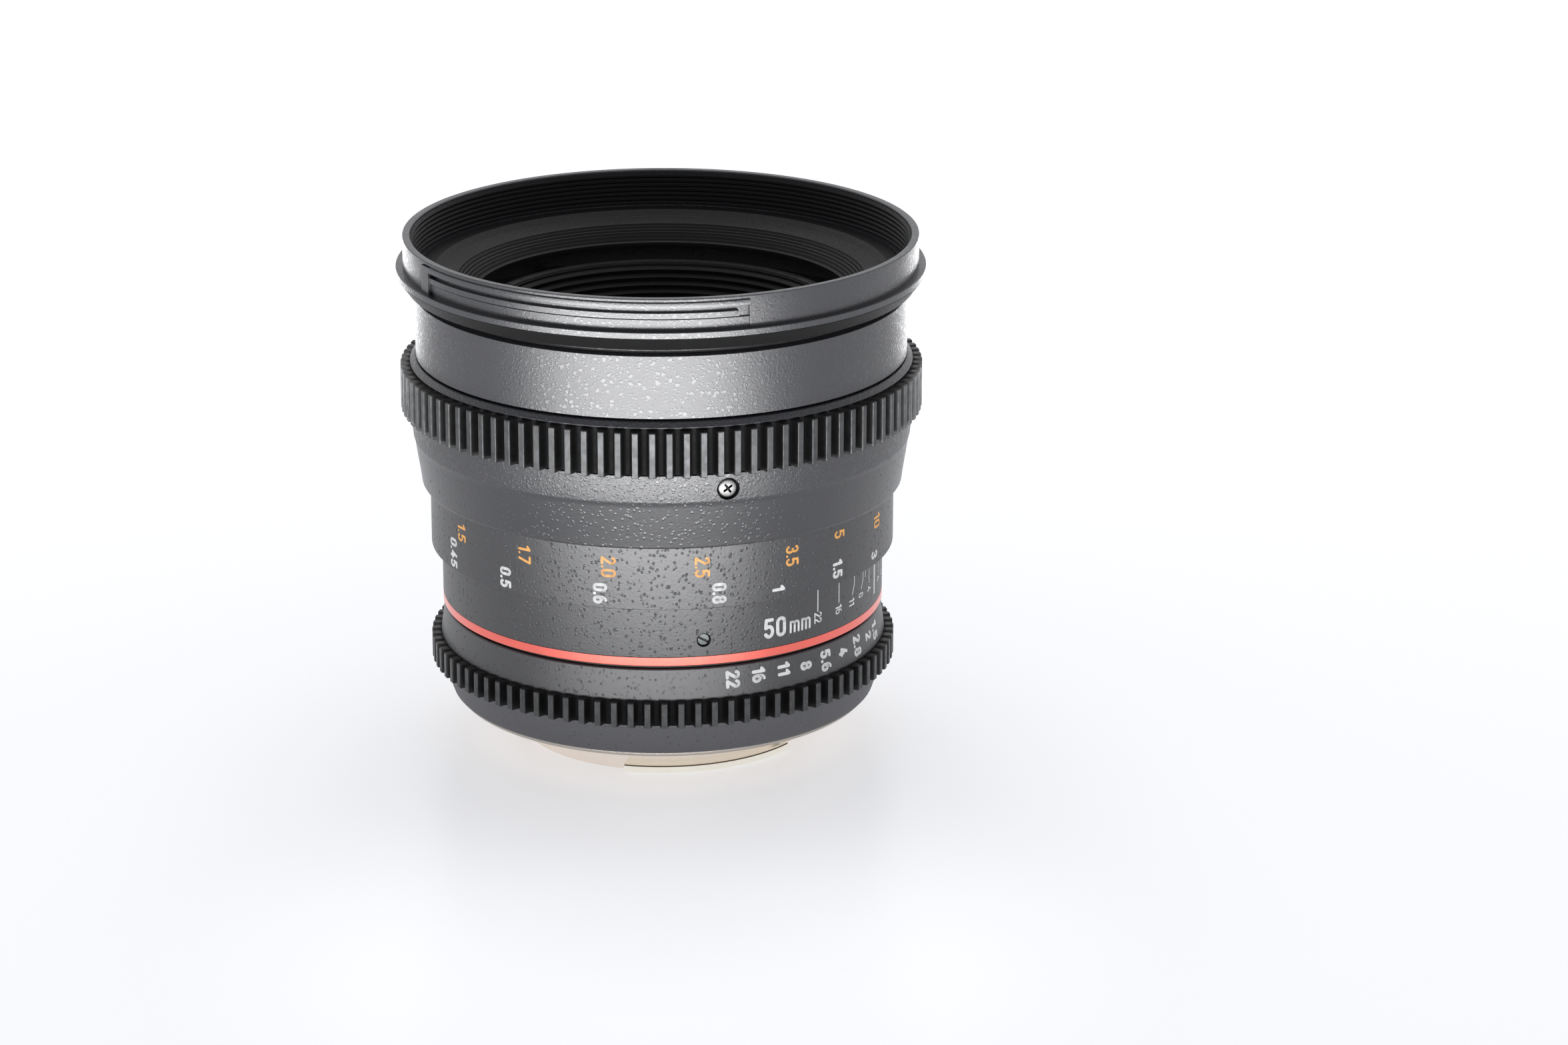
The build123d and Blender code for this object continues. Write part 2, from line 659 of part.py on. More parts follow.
# Inner barrel: carries all the glass and the iris, and slides in the guide tube
BARREL_R = GUIDE_R[0] - SLIDE_GAP
BARREL_TOP = 68.2
REAR_TUBE_R = (21.5, 24.0)
REAR_TUBE_BOTTOM = 12.0
LEVER_SWEEP = 4.5
with BuildPart() as optical_barrel:
    turned(
        [
            (REAR_TUBE_R[0], REAR_TUBE_BOTTOM),
            (REAR_TUBE_R[1], REAR_TUBE_BOTTOM),
            (REAR_TUBE_R[1], SHELF_Z[0]),
            (BARREL_R, SHELF_Z[0]),
            (BARREL_R, 62.0),
            (BARREL_R - 0.15, 62.2),
            (BARREL_R - 0.15, BARREL_TOP - 0.3),
            (BARREL_R - 0.45, BARREL_TOP),
            (CELL_R, BARREL_TOP),
            (CELL_R, PIVOT_PLATE_Z[0]),
            (IRIS_BORE_R, PIVOT_PLATE_Z[0]),
            (IRIS_BORE_R, SHELF_Z[1]),
            (16.0, SHELF_Z[1]),
            (16.0, SHELF_Z[0]),
            (REAR_TUBE_R[0], SHELF_Z[0]),
        ]
    )
    turned_arc(
        block(REAR_TUBE_R[1] + 0.1, IRIS_BORE_R - 0.05, SHELF_Z[0] - 1, SHELF_Z[1] + 0.01),
        LEVER_AT - LEVER_SWEEP,
        LEVER_AT + APERTURE_TURN + LEVER_SWEEP,
        mode=Mode.SUBTRACT,
    )
    for third in range(3):
        with Locations(radial_plane(ROLLER_AT + 120 * third, BARREL_R, ROLLER_Z)):
            Hole(0.8, depth=1.5)
finish(optical_barrel, "optical_barrel")

# Rollers that follow the slots, and the shouldered screws that hold them
with BuildPart() as cam_rollers:
    for third in range(3):
        with Locations(radial_plane(ROLLER_AT + 120 * third, BARREL_R + 0.02, ROLLER_Z)):
            Cylinder(ROLLER_R, 3.2, align=(Align.CENTER, Align.CENTER, Align.MIN))
            Cylinder(0.8, 8, mode=Mode.SUBTRACT)
finish(cam_rollers, "cam_rollers")

with BuildPart() as roller_screws:
    for third in range(3):
        with Locations(radial_plane(ROLLER_AT + 120 * third, BARREL_R - 1.5, ROLLER_Z)):
            Cylinder(0.8, 4.75, align=(Align.CENTER, Align.CENTER, Align.MIN))
        with Locations(radial_plane(ROLLER_AT + 120 * third, BARREL_R + 3.22, ROLLER_Z)):
            Cylinder(1.15, 0.5, align=(Align.CENTER, Align.CENTER, Align.MIN))
finish(roller_screws, "roller_screws")

# Glass: nine elements in six groups, front first. Each has a rim radius, a front and a rear
# surface as (vertex height, curvature radius), and the radius at which its rear curve ends.
CEMENT = 0.02
ELEMENTS = (
    (22.4, (61.6, 50), (56.0, 130), 22.4),
    (19.4, (55.4, 30), (49.9, 75), 19.4),
    (18.9, (49.9 - CEMENT, 75), (47.9, 26), 15.5),
    (14.8, (29.0, -22), (27.2, 80), 14.8),
    (17.0, (27.2 - CEMENT, 80), (20.0, -36), 17.0),
    (17.5, (19.7, 120), (13.8, -50), 17.5),
    (15.5, (13.5, 90), (9.3, -70), 15.5),
    (15.5, (9.3 - CEMENT, -70), (7.6, 90), 15.5),
    (14.8, (7.2, 70), (3.0, -200), 14.8),
)
for number, element in enumerate(ELEMENTS, start=1):
    with BuildPart() as glass:
        lens_element(*element)
    finish(glass, f"lens_element_{number}")


def front_z(number, radius):
    """Height of an element's front surface at a radius."""
    return surface_z(ELEMENTS[number - 1][1], radius)


def rear_z(number, radius):
    """Height of an element's rear surface at a radius."""
    return surface_z(ELEMENTS[number - 1][2], radius)


# Front cell, which holds the first three elements
CELL_LIP_R = 15.7
FRONT_CELL_TOP = 56.4
FRONT_STEP_Z = (rear_z(3, 15.5), 47.3, 50.0)
SPACER_R = (19.0, 21.6)
with BuildPart() as front_cell:
    turned(
        [
            (CELL_LIP_R, PIVOT_PLATE_Z[1]),
            (CELL_R, PIVOT_PLATE_Z[1]),
            (CELL_R, FRONT_CELL_TOP),
            (22.4, FRONT_CELL_TOP),
            (22.4, FRONT_STEP_Z[2]),
            (19.4, FRONT_STEP_Z[2]),
            (19.4, FRONT_STEP_Z[1]),
            (18.9, FRONT_STEP_Z[1]),
            (18.9, FRONT_STEP_Z[0]),
            (CELL_LIP_R, FRONT_STEP_Z[0]),
        ]
    )
finish(front_cell, "front_cell")

with BuildPart() as front_spacer:
    turned(
        [
            (SPACER_R[0], front_z(2, SPACER_R[0])),
            (19.4, front_z(2, SPACER_R[0])),
            (19.4, FRONT_STEP_Z[2]),
            (22.4, FRONT_STEP_Z[2]),
            (22.4, rear_z(1, 22.4)),
            (SPACER_R[1], rear_z(1, 22.4)),
            (SPACER_R[0], 51.0),
        ]
    )
finish(front_spacer, "front_spacer")

# Ridged ring that holds the front element and traps stray light round it
RIDGES = 9
RIDGE_Z = (57.2, 67.6)
RIDGE_R = (22.0, 26.0)


def ridge_profile():
    """Sawtooth steps down the inside of the ridged ring, front first."""
    rise = (RIDGE_Z[1] - RIDGE_Z[0]) / RIDGES
    spread = (RIDGE_R[1] - RIDGE_R[0]) / RIDGES
    steps = []
    for step in range(RIDGES):
        radius = RIDGE_R[1] - step * spread
        z = RIDGE_Z[1] - step * rise
        steps += [(radius, z), (radius - spread - 0.15, z - rise * 0.4)]
    return steps


with BuildPart() as front_trim_ring:
    turned(
        [
            *ridge_profile(),
            (RIDGE_R[0], RIDGE_Z[0]),
            (RIDGE_R[0], front_z(1, RIDGE_R[0])),
            (22.4, front_z(1, RIDGE_R[0])),
            (22.4, FRONT_CELL_TOP),
            (CELL_R, FRONT_CELL_TOP),
            (CELL_R, BARREL_TOP - 0.2),
            (RIDGE_R[1], BARREL_TOP - 0.2),
        ]
    )
finish(front_trim_ring, "front_trim_ring")

# Iris plate: fixed, with the blades' pivot holes
PIVOT_TURN = 360 / BLADES
with BuildPart() as iris_plate:
    turned(block(STOP_R, CELL_R, *PIVOT_PLATE_Z))
    with Locations((0, 0, PIVOT_PLATE_Z[1])):
        with PolarLocations(PIVOT_R, BLADES):
            Hole(PIN_R + PIN_GAP)
finish(iris_plate, "iris_plate")


def drive_point(share):
    """Where a blade's drive pin stands, seen from the turning cam ring, at a share of its travel."""
    pin = Vector(DRIVE_R * cos(radians(DRIVE_AT)), DRIVE_R * sin(radians(DRIVE_AT)))
    arm = pin - Vector(PIVOT_R, 0)
    swung = Vector(PIVOT_R, 0) + arm.rotate(Axis.Z, BLADE_TURN * share)
    return swung.rotate(Axis.Z, -APERTURE_TURN * share)


# Cam ring: each slot is the locus of a drive pin, so that blade and ring keep one ratio. An arc
# through the two ends and the middle stays within 0.03 mm of it.
SLOT_REACH = 0.02
with BuildPart() as iris_cam_ring:
    turned(block(STOP_R + 1, IRIS_BORE_R - SLIDE_GAP, *CAM_RING_Z))
    with BuildLine(mode=Mode.PRIVATE) as locus:
        ThreePointArc(*[drive_point(share) for share in (-SLOT_REACH, 0.5, 1 + SLOT_REACH)])
    with BuildSketch(Plane.XY.offset(CAM_RING_Z[0] - 0.5)) as cam_slots:
        with PolarLocations(0, BLADES):
            SlotArc(locus.line.edge(), 2 * (PIN_R + PIN_GAP))
    extrude(cam_slots.sketch, amount=CAM_RING_Z[1] - CAM_RING_Z[0] + 1, mode=Mode.SUBTRACT)
finish(iris_cam_ring, "iris_cam_ring")

with BuildPart() as iris_lever:
    with Locations(radial_plane(LEVER_AT, LEVER_R[0], LEVER_BOTTOM)):
        Box(
            CAM_RING_Z[0] - LEVER_BOTTOM, LEVER_WIDTH, LEVER_R[1] - LEVER_R[0],
            align=(Align.MIN, Align.CENTER, Align.MIN),
        )
finish(iris_lever, "iris_lever")


PIVOT_SPOT = (PIVOT_R, 0)
DRIVE_SPOT = (DRIVE_R * cos(radians(DRIVE_AT)), DRIVE_R * sin(radians(DRIVE_AT)))
TAB_SPOTS = (PIVOT_SPOT, DRIVE_SPOT, (21.2, 1.4), (20.6, 7.0))


def blade_outline():
    """Sickle of one blade with its pivot at angle zero, and the tab that carries both pins."""
    with BuildSketch() as outline:
        with BuildLine():
            outer = CenterArc((0, 0), BLADE_OUTER_R, 0, BLADE_SPAN)
            inner = CenterArc((0, 0), BLADE_INNER_R, 0, BLADE_SPAN)
            Line(inner @ 0, outer @ 0)
            Line(inner @ 1, outer @ 1)
        make_face()
        with BuildSketch(mode=Mode.PRIVATE) as tab:
            with Locations(*TAB_SPOTS):
                Circle(1.2)
            make_hull()
        add(tab.sketch)
    return outline.sketch


def blade_pin(spot, radius, frame, height):
    """Round pin of a blade, from its own level to a height above or below it."""
    with BuildSketch(frame) as foot:
        with Locations(spot):
            Circle(radius)
    extrude(foot.sketch, amount=height)


for blade in range(BLADES):
    level = BLADE_Z + BLADE_PITCH * blade
    blade_frame = Plane(origin=(0, 0, level)).rotated((0, 0, PIVOT_TURN * blade))
    with BuildPart() as iris_blade:
        with BuildSketch(blade_frame) as leaf:
            add(blade_outline())
        extrude(leaf.sketch, amount=BLADE_THICKNESS)
        blade_pin(PIVOT_SPOT, PIN_R, blade_frame, PIVOT_PLATE_Z[1] - 0.2 - level)
        blade_pin(DRIVE_SPOT, PIN_R, blade_frame, CAM_RING_Z[0] + 0.15 - level)
    finish(iris_blade, f"iris_blade_{blade + 1}")

# Rear cell, which holds the other six elements
NOSE_R = 17.4
CELL_STEP_Z = 10.0
REAR_BORE_R = 17.5
REAR_SEAT_Z = 12.3
SLEEVE_SEAT_R = 16.6
RETAINER_Z = (33.0, 34.2)
with BuildPart() as rear_cell:
    turned(
        [
            (14.2, 2.4),
            (NOSE_R - 0.3, 2.4),
            (NOSE_R, 2.7),
            (NOSE_R, CELL_STEP_Z),
            (REAR_TUBE_R[1], CELL_STEP_Z),
            (REAR_TUBE_R[1], REAR_TUBE_BOTTOM),
            (REAR_TUBE_R[0], REAR_TUBE_BOTTOM),
            (REAR_TUBE_R[0], RETAINER_Z[1]),
            (REAR_BORE_R, RETAINER_Z[1]),
            (REAR_BORE_R, REAR_SEAT_Z),
            (15.5, REAR_SEAT_Z),
            (15.5, rear_z(8, 15.5)),
            (14.8, rear_z(8, 15.5)),
            (14.8, rear_z(9, 14.2)),
            (14.2, rear_z(9, 14.2)),
        ]
    )
finish(rear_cell, "rear_cell")

with BuildPart() as rear_spacer:
    turned(
        [
            (15.0, REAR_SEAT_Z),
            (REAR_BORE_R, REAR_SEAT_Z),
            (REAR_BORE_R, rear_z(6, 16.9)),
            (16.9, rear_z(6, 16.9)),
            (15.0, REAR_SEAT_Z + 0.8),
        ]
    )
finish(rear_spacer, "rear_spacer")

with BuildPart() as middle_spacer:
    turned(block(SLEEVE_SEAT_R, REAR_BORE_R, front_z(6, SLEEVE_SEAT_R), rear_z(5, SLEEVE_SEAT_R)))
finish(middle_spacer, "middle_spacer")

with BuildPart() as doublet_sleeve:
    turned(
        [
            (17.0, rear_z(5, SLEEVE_SEAT_R)),
            (REAR_BORE_R, rear_z(5, SLEEVE_SEAT_R)),
            (REAR_BORE_R, RETAINER_Z[0]),
            (14.8, RETAINER_Z[0]),
            (14.8, front_z(5, 14.8)),
            (17.0, front_z(5, 14.8)),
        ]
    )
finish(doublet_sleeve, "doublet_sleeve")

with BuildPart() as rear_retaining_ring:
    turned(block(15.2, REAR_BORE_R, *RETAINER_Z))
finish(rear_retaining_ring, "rear_retaining_ring")
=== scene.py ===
"""Looks of a geared manual-focus prime lens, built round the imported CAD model."""

import math

import bmesh
import bpy
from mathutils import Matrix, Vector


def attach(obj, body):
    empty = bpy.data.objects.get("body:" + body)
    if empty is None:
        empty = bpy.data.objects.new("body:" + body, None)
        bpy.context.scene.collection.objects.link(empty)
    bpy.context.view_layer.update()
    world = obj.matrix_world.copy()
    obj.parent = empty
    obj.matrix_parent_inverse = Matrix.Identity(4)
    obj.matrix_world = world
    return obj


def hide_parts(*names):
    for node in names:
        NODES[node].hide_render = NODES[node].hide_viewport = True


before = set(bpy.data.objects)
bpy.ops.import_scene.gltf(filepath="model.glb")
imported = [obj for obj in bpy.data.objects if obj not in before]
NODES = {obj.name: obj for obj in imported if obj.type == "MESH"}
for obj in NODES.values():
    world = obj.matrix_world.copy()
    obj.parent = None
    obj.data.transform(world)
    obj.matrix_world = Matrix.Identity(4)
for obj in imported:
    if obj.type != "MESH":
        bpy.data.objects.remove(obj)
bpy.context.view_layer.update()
MM = 0.001

# Dimensions in millimetres, as in the CAD model. Azimuths are in degrees from -Y, seen from the front.
FOCUS_SCREW_AT = 14.6
FOCUS_SCREW_Z = 50.55
GRUB_AT = 10.2
GRUB_Z = 25.5
BAND_R = 36.15
NAME_R = 34.5
APERTURE_SCALE = ((34.9, 16.4), (34.3, 20.8))
STOP_PIN_AT = 52.0
STOP_PIN_Z = 2.6
LUGS = ((-14.7, 53.6), (110.0, 168.0), (226.0, 286.0))
MOUNT_SCREW_R = 28.6
MOUNT_SCREW_AT = 65.0

# Fineness of the meshes
LATHE_SEGMENTS = 360
PLUG_SEGMENTS = 40
HOLE_SEGMENTS = 32
CORNER_STEPS = 3
SHARP_ANGLE = 28
TINY = 1e-6
MERGE_DISTANCE = 1e-8
UP = Vector((0, 0, 1))


# Geometry helpers

def place(radius, azimuth, z):
    """Point in metres at a radius, azimuth and height."""
    angle = math.radians(azimuth)
    return Vector((radius * math.sin(angle), -radius * math.cos(angle), z)) * MM


def outward(azimuth):
    """Unit vector away from the axis at an azimuth."""
    return place(1, azimuth, 0).normalized()


def thirds(azimuth):
    """An azimuth and the two that stand 120 degrees from it."""
    return [azimuth + 120 * third for third in range(3)]


def block(r_in, r_out, z_low, z_high):
    """Rectangular profile between two radii and two heights."""
    return [(r_in, z_low), (r_out, z_low), (r_out, z_high), (r_in, z_high)]


def rounded(profile, radius):
    """Closed profile with each corner replaced by a small arc."""
    least_turn = 0.12
    most_of_side = 0.45
    points = [Vector((r, z)) for r, z in profile]
    result = []
    for i, corner in enumerate(points):
        back, forth = points[i - 1] - corner, points[(i + 1) % len(points)] - corner
        if min(back.length, forth.length) < TINY:
            result.append(corner)
            continue
        turn = math.pi - back.angle(forth)
        if turn < least_turn:
            result.append(corner)
            continue
        reach = min(radius * math.tan(turn / 2), back.length * most_of_side, forth.length * most_of_side)
        start, end = corner + back.normalized() * reach, corner + forth.normalized() * reach
        for step in range(CORNER_STEPS + 1):
            t = step / CORNER_STEPS
            result.append(start * (1 - t) ** 2 + corner * 2 * t * (1 - t) + end * t**2)
    return [(p.x, p.y) for p in result]


def smooth(mesh, angle=SHARP_ANGLE):
    """Shade smooth, with sharp edges above an angle in degrees."""
    mesh.shade_smooth()
    mesh.set_sharp_from_angle(angle=math.radians(angle))


def weigh_normals(obj):
    """Let broad faces shade flat beside their small bevels."""
    modifier = obj.modifiers.new("normals", "WEIGHTED_NORMAL")
    modifier.mode = "FACE_AREA"
    modifier.keep_sharp = True


def piece(name, bm, material, body, replaced=(), angle=SHARP_ANGLE):
    """Turn a bmesh into a named piece that rides on a body and stands for CAD nodes."""
    bmesh.ops.recalc_face_normals(bm, faces=bm.faces)
    mesh = bpy.data.meshes.new(name)
    bm.to_mesh(mesh)
    bm.free()
    smooth(mesh, angle)
    mesh.materials.append(material)
    obj = bpy.data.objects.new(name, mesh)
    bpy.context.scene.collection.objects.link(obj)
    weigh_normals(obj)
    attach(obj, body)
    if replaced:
        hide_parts(*replaced)
    return obj


def bridge(bm, rows, around=True, along=True):
    """Quads between neighbouring rows of vertices. With around the last row joins the first, and with
    along the last vertex of a row joins its first."""
    following = rows[1:] + (rows[:1] if around else [])
    for low, high in zip(rows, following):
        for j in range(len(low) if along else len(low) - 1):
            k = (j + 1) % len(low)
            bm.faces.new((low[j], high[j], high[k], low[k]))


def add_lathe(bm, profile, start=None, end=None):
    """Turn a closed profile fully, or from one azimuth to another with capped ends."""
    closed = start is None
    first, span = (0.0, 360.0) if closed else (start, end - start)
    count = LATHE_SEGMENTS if closed else max(2, round(LATHE_SEGMENTS * span / 360))
    rows = []
    for step in range(count if closed else count + 1):
        azimuth = first + span * step / count
        rows.append([bm.verts.new(place(r, azimuth, z)) for r, z in profile])
    bridge(bm, rows, around=closed)
    if not closed:
        bm.faces.new(rows[0])
        bm.faces.new(rows[-1])


def lathe(name, profile, material, body, replaced=(), *, edge):
    """Piece turned from a closed profile, with its corners rounded by edge."""
    bm = bmesh.new()
    add_lathe(bm, rounded(profile, edge) if edge else profile)
    return piece(name, bm, material, body, replaced)


def add_plug(bm, centre, axis, side, profile, segments=PLUG_SEGMENTS):
    """Round plug turned from (distance from its axis, height along it) points. The centre is in metres,
    and the first row of points stands on the given side of the axis."""
    other = axis.cross(side)
    rows = []
    for step in range(segments):
        angle = 2 * math.pi * step / segments
        way = side * math.cos(angle) + other * math.sin(angle)
        rows.append([bm.verts.new(centre + (way * r + axis * h) * MM) for r, h in profile])
    bridge(bm, rows, along=False)
    for j in (0, -1):
        if profile[j][0] > TINY:
            bm.faces.new([row[j] for row in rows])
    bmesh.ops.remove_doubles(bm, verts=bm.verts, dist=MERGE_DISTANCE)


def add_radial_plug(bm, azimuth, radius, z, profile):
    """Round plug on a radial axis, its heights counted outwards from a radius."""
    add_plug(bm, place(radius, azimuth, z), outward(azimuth), UP, profile)


def add_driver_slot(bm, azimuth, radius, z, turn, size):
    """Bar to cut a driver slot into a radial screw: turned from upright by an angle in degrees, and sized
    in millimetres along the slot, across it and into the screw."""
    out = outward(azimuth)
    along = UP * math.cos(math.radians(turn)) + out.cross(UP) * math.sin(math.radians(turn))
    across = out.cross(along)
    centre = place(radius, azimuth, z)
    corners = []
    for i in (-0.5, 0.5):
        for j in (-0.5, 0.5):
            for k in (-0.5, 0.5):
                offset = along * (i * size[0]) + across * (j * size[1]) + out * (k * size[2])
                corners.append(bm.verts.new(centre + offset * MM))
    for quad in ((0, 1, 3, 2), (4, 6, 7, 5), (0, 4, 5, 1), (2, 3, 7, 6), (0, 2, 6, 4), (1, 5, 7, 3)):
        bm.faces.new([corners[n] for n in quad])


def cut(obj, bm):
    """Cut a closed bmesh out of a piece and keep the result in its mesh."""
    bmesh.ops.recalc_face_normals(bm, faces=bm.faces)
    mesh = bpy.data.meshes.new("cutter")
    bm.to_mesh(mesh)
    bm.free()
    cutter = bpy.data.objects.new("cutter", mesh)
    bpy.context.scene.collection.objects.link(cutter)
    obj.modifiers.clear()
    modifier = obj.modifiers.new("cut", "BOOLEAN")
    modifier.operation = "DIFFERENCE"
    modifier.solver = "EXACT"
    modifier.object = cutter
    depsgraph = bpy.context.evaluated_depsgraph_get()
    result = bpy.data.meshes.new_from_object(obj.evaluated_get(depsgraph))
    obj.modifiers.clear()
    old = obj.data
    obj.data = result
    bpy.data.meshes.remove(old)
    bpy.data.objects.remove(cutter)
    bpy.data.meshes.remove(mesh)
    smooth(result)
    weigh_normals(obj)


# Follow gears, in millimetres
MODULE = 0.8
PRESSURE = math.radians(20)
FLANK_STEPS = 5
ROOT_FILLET = 0.12
TIP_ROUND = 0.06
TIP_SPREAD = 0.12
TOOTH_BEVEL = 0.12
BEVEL_CLEARANCE = 0.02


def gear_outline(teeth, tooth_at):
    """Corners of an involute gear as (radius, azimuth) pairs, a little fuller towards the tips."""
    pitch_r = MODULE * teeth / 2
    base_r = pitch_r * math.cos(PRESSURE)
    root_r, tip_r = pitch_r - 1.25 * MODULE, pitch_r + MODULE
    flank_r = max(base_r, root_r + ROOT_FILLET)
    flank = []
    for step in range(FLANK_STEPS + 1):
        radius = flank_r + (tip_r - TIP_ROUND - flank_r) * step / FLANK_STEPS
        roll = math.acos(min(1.0, base_r / radius))
        half = math.pi / (2 * teeth) + (math.tan(PRESSURE) - PRESSURE) - (math.tan(roll) - roll)
        half += TIP_SPREAD / tip_r * max(0.0, (radius - pitch_r) / MODULE)
        flank.append((radius, math.degrees(half)))
    tip_half = flank[-1][1] - math.degrees(TIP_ROUND / tip_r)
    root_half = flank[0][1] + math.degrees(ROOT_FILLET / root_r)
    side = [(root_r, root_half)] + flank + [(tip_r, tip_half)]
    outline = []
    for tooth in range(teeth):
        middle = tooth_at + 360 * tooth / teeth
        outline += [(r, middle - half) for r, half in side]
        outline += [(r, middle + half) for r, half in reversed(side)]
    return outline


def gear(name, teeth, tooth_at, bore, z_low, z_high, material, body):
    """Toothed rim with lightly broken edges at both ends of the teeth."""
    outline = gear_outline(teeth, tooth_at)
    least_r = min(r for r, _ in outline) - BEVEL_CLEARANCE
    bevels = (
        (z_low, TOOTH_BEVEL), (z_low + TOOTH_BEVEL, 0), (z_high - TOOTH_BEVEL, 0), (z_high, TOOTH_BEVEL)
    )
    bm = bmesh.new()
    rows = []
    for z, shrink in bevels:
        rows.append([bm.verts.new(place(max(r - shrink, least_r), azimuth, z)) for r, azimuth in outline])
    inner = [[bm.verts.new(place(bore, azimuth, z)) for _, azimuth in outline] for z in (z_low, z_high)]
    bridge(bm, [inner[0], *rows, inner[1]])
    piece(name, bm, material, body, angle=20)


# Material helpers

class Nodes:
    """Short calls for building one node tree."""

    def __init__(self, name):
        self.material = bpy.data.materials.new(name)
        self.material.use_nodes = True
        self.tree = self.material.node_tree
        self.shader = self.tree.nodes["Principled BSDF"]
        self.coords = self.add("ShaderNodeTexCoord").outputs["Object"]

    def fill(self, socket, value):
        """Set a socket to a value, or link it where the value is another node's output."""
        if isinstance(value, bpy.types.NodeSocket):
            self.tree.links.new(value, socket)
        else:
            socket.default_value = value

    def add(self, kind, inputs=(), **settings):
        """New node with its settings and inputs, keyed by name or by number."""
        node = self.tree.nodes.new(kind)
        for key, value in settings.items():
            setattr(node, key, value)
        for key, value in dict(inputs).items():
            self.fill(node.inputs[key], value)
        return node

    def set(self, **values):
        """Set the shader's own sockets, named with underscores for spaces."""
        for key, value in values.items():
            self.fill(self.shader.inputs[key.replace("_", " ")], value)

    def noise(self, scale, detail=2.0, roughness=0.5):
        inputs = {"Vector": self.coords, "Scale": scale, "Detail": detail, "Roughness": roughness}
        return self.add("ShaderNodeTexNoise", inputs).outputs["Fac"]

    def smoothstep(self, value, low, high, out_low=0.0, out_high=1.0):
        inputs = {"Value": value, "From Min": low, "From Max": high, "To Min": out_low, "To Max": out_high}
        return self.add("ShaderNodeMapRange", inputs, interpolation_type="SMOOTHSTEP").outputs["Result"]

    def step(self, length, low, high, out_low=0.0, out_high=1.0):
        """Smooth step between two lengths in millimetres."""
        return self.smoothstep(length, low * MM, high * MM, out_low, out_high)

    def blend(self, share, start, end):
        """Value that goes from start to end as a share goes from 0 to 1."""
        return self.smoothstep(share, 0.0, 1.0, start, end)

    def uneven(self, noise, low, high):
        """Noise spread over a range of values."""
        return self.smoothstep(noise, 0.3, 0.7, low, high)

    def spots(self, scale, warp, edge, full):
        """Scattered spots, 0 at a distance edge from their middles and 1 at full, in units of their
        spacing. Warp bends their outlines and is in millimetres."""
        swirl = self.add("ShaderNodeTexNoise", {"Vector": self.coords, "Scale": scale * 1.5, "Detail": 1.0})
        inputs = {0: swirl.outputs["Color"], 1: (warp * MM,) * 3, 2: self.coords}
        warped = self.add("ShaderNodeVectorMath", inputs, operation="MULTIPLY_ADD").outputs[0]
        cells = self.add("ShaderNodeTexVoronoi", {"Vector": warped, "Scale": scale})
        return self.smoothstep(cells.outputs["Distance"], edge, full)

    def math(self, operation, a, b):
        return self.add("ShaderNodeMath", {0: a, 1: b}, operation=operation).outputs[0]

    def mix(self, factor, a, b):
        return self.add("ShaderNodeMix", {"Factor": factor, 6: a, 7: b}, data_type="RGBA").outputs[2]

    def radius(self):
        """Distance from the optical axis, in metres."""
        flat = self.add("ShaderNodeVectorMath", {0: self.coords, 1: (1, 1, 0)}, operation="MULTIPLY")
        return self.add("ShaderNodeVectorMath", {0: flat.outputs[0]}, operation="LENGTH").outputs["Value"]

    def height(self):
        return self.add("ShaderNodeSeparateXYZ", {0: self.coords}).outputs["Z"]

    def across(self):
        """Length that grows both outwards and upwards, for lines on flanges and barrels alike."""
        return self.math("ADD", self.radius(), self.height())

    def turned_lines(self, length, pitch):
        """Wave of a pitch in millimetres along a length."""
        return self.math("SINE", self.math("MULTIPLY", length, 2 * math.pi / (pitch * MM)), 0)

    def bump(self, height, relief):
        """Normal for a relief of a depth in millimetres."""
        return self.add("ShaderNodeBump", {"Height": height, "Distance": relief * MM}).outputs["Normal"]


def grey(value, warmth=0.0):
    """Grey of a brightness, made warmer by a share."""
    return (value * (1 + warmth), value, value * (1 - warmth), 1)


def shade(colour, factor):
    """Colour with its brightness multiplied."""
    return [min(1, c * factor) for c in colour[:3]] + [1]


def blue_grey(value):
    """Bluish grey of a brightness."""
    return (value * 0.92, value * 0.97, value * 1.35, 1)


# Spots of the spattered enamel: cells a metre, warp in millimetres, and the distances from their middles
# where they start and where they are full, in units of their spacing
SMALL_FLECKS = (1900, 0.3, 0.4, 0.22)
LARGE_FLECKS = (900, 0.6, 0.34, 0.23)
DROPS = (1300, 0.25, 0.34, 0.05)
DIMPLES = (850, 0.3, 0.24, 0.1)
PEEL_SCALE = 2600

# What each part adds to the height, in units of the relief, and how much rougher dimples are
FLECK_SHARE = 0.5
PEEL_SHARE = 0.5
DROP_SHARE = 1.2
DIMPLE_SHARE = 1.2
DIMPLE_ROUGHNESS = 0.2

# Share of flecks where drops and dimples stand for them, and of drops and dimples where flecks do: above
# such an area, and on paint that has none
FLECKS_BELOW = 0.1
DROPS_ABOVE = 0.3
DROPS_PLAIN = 0.1


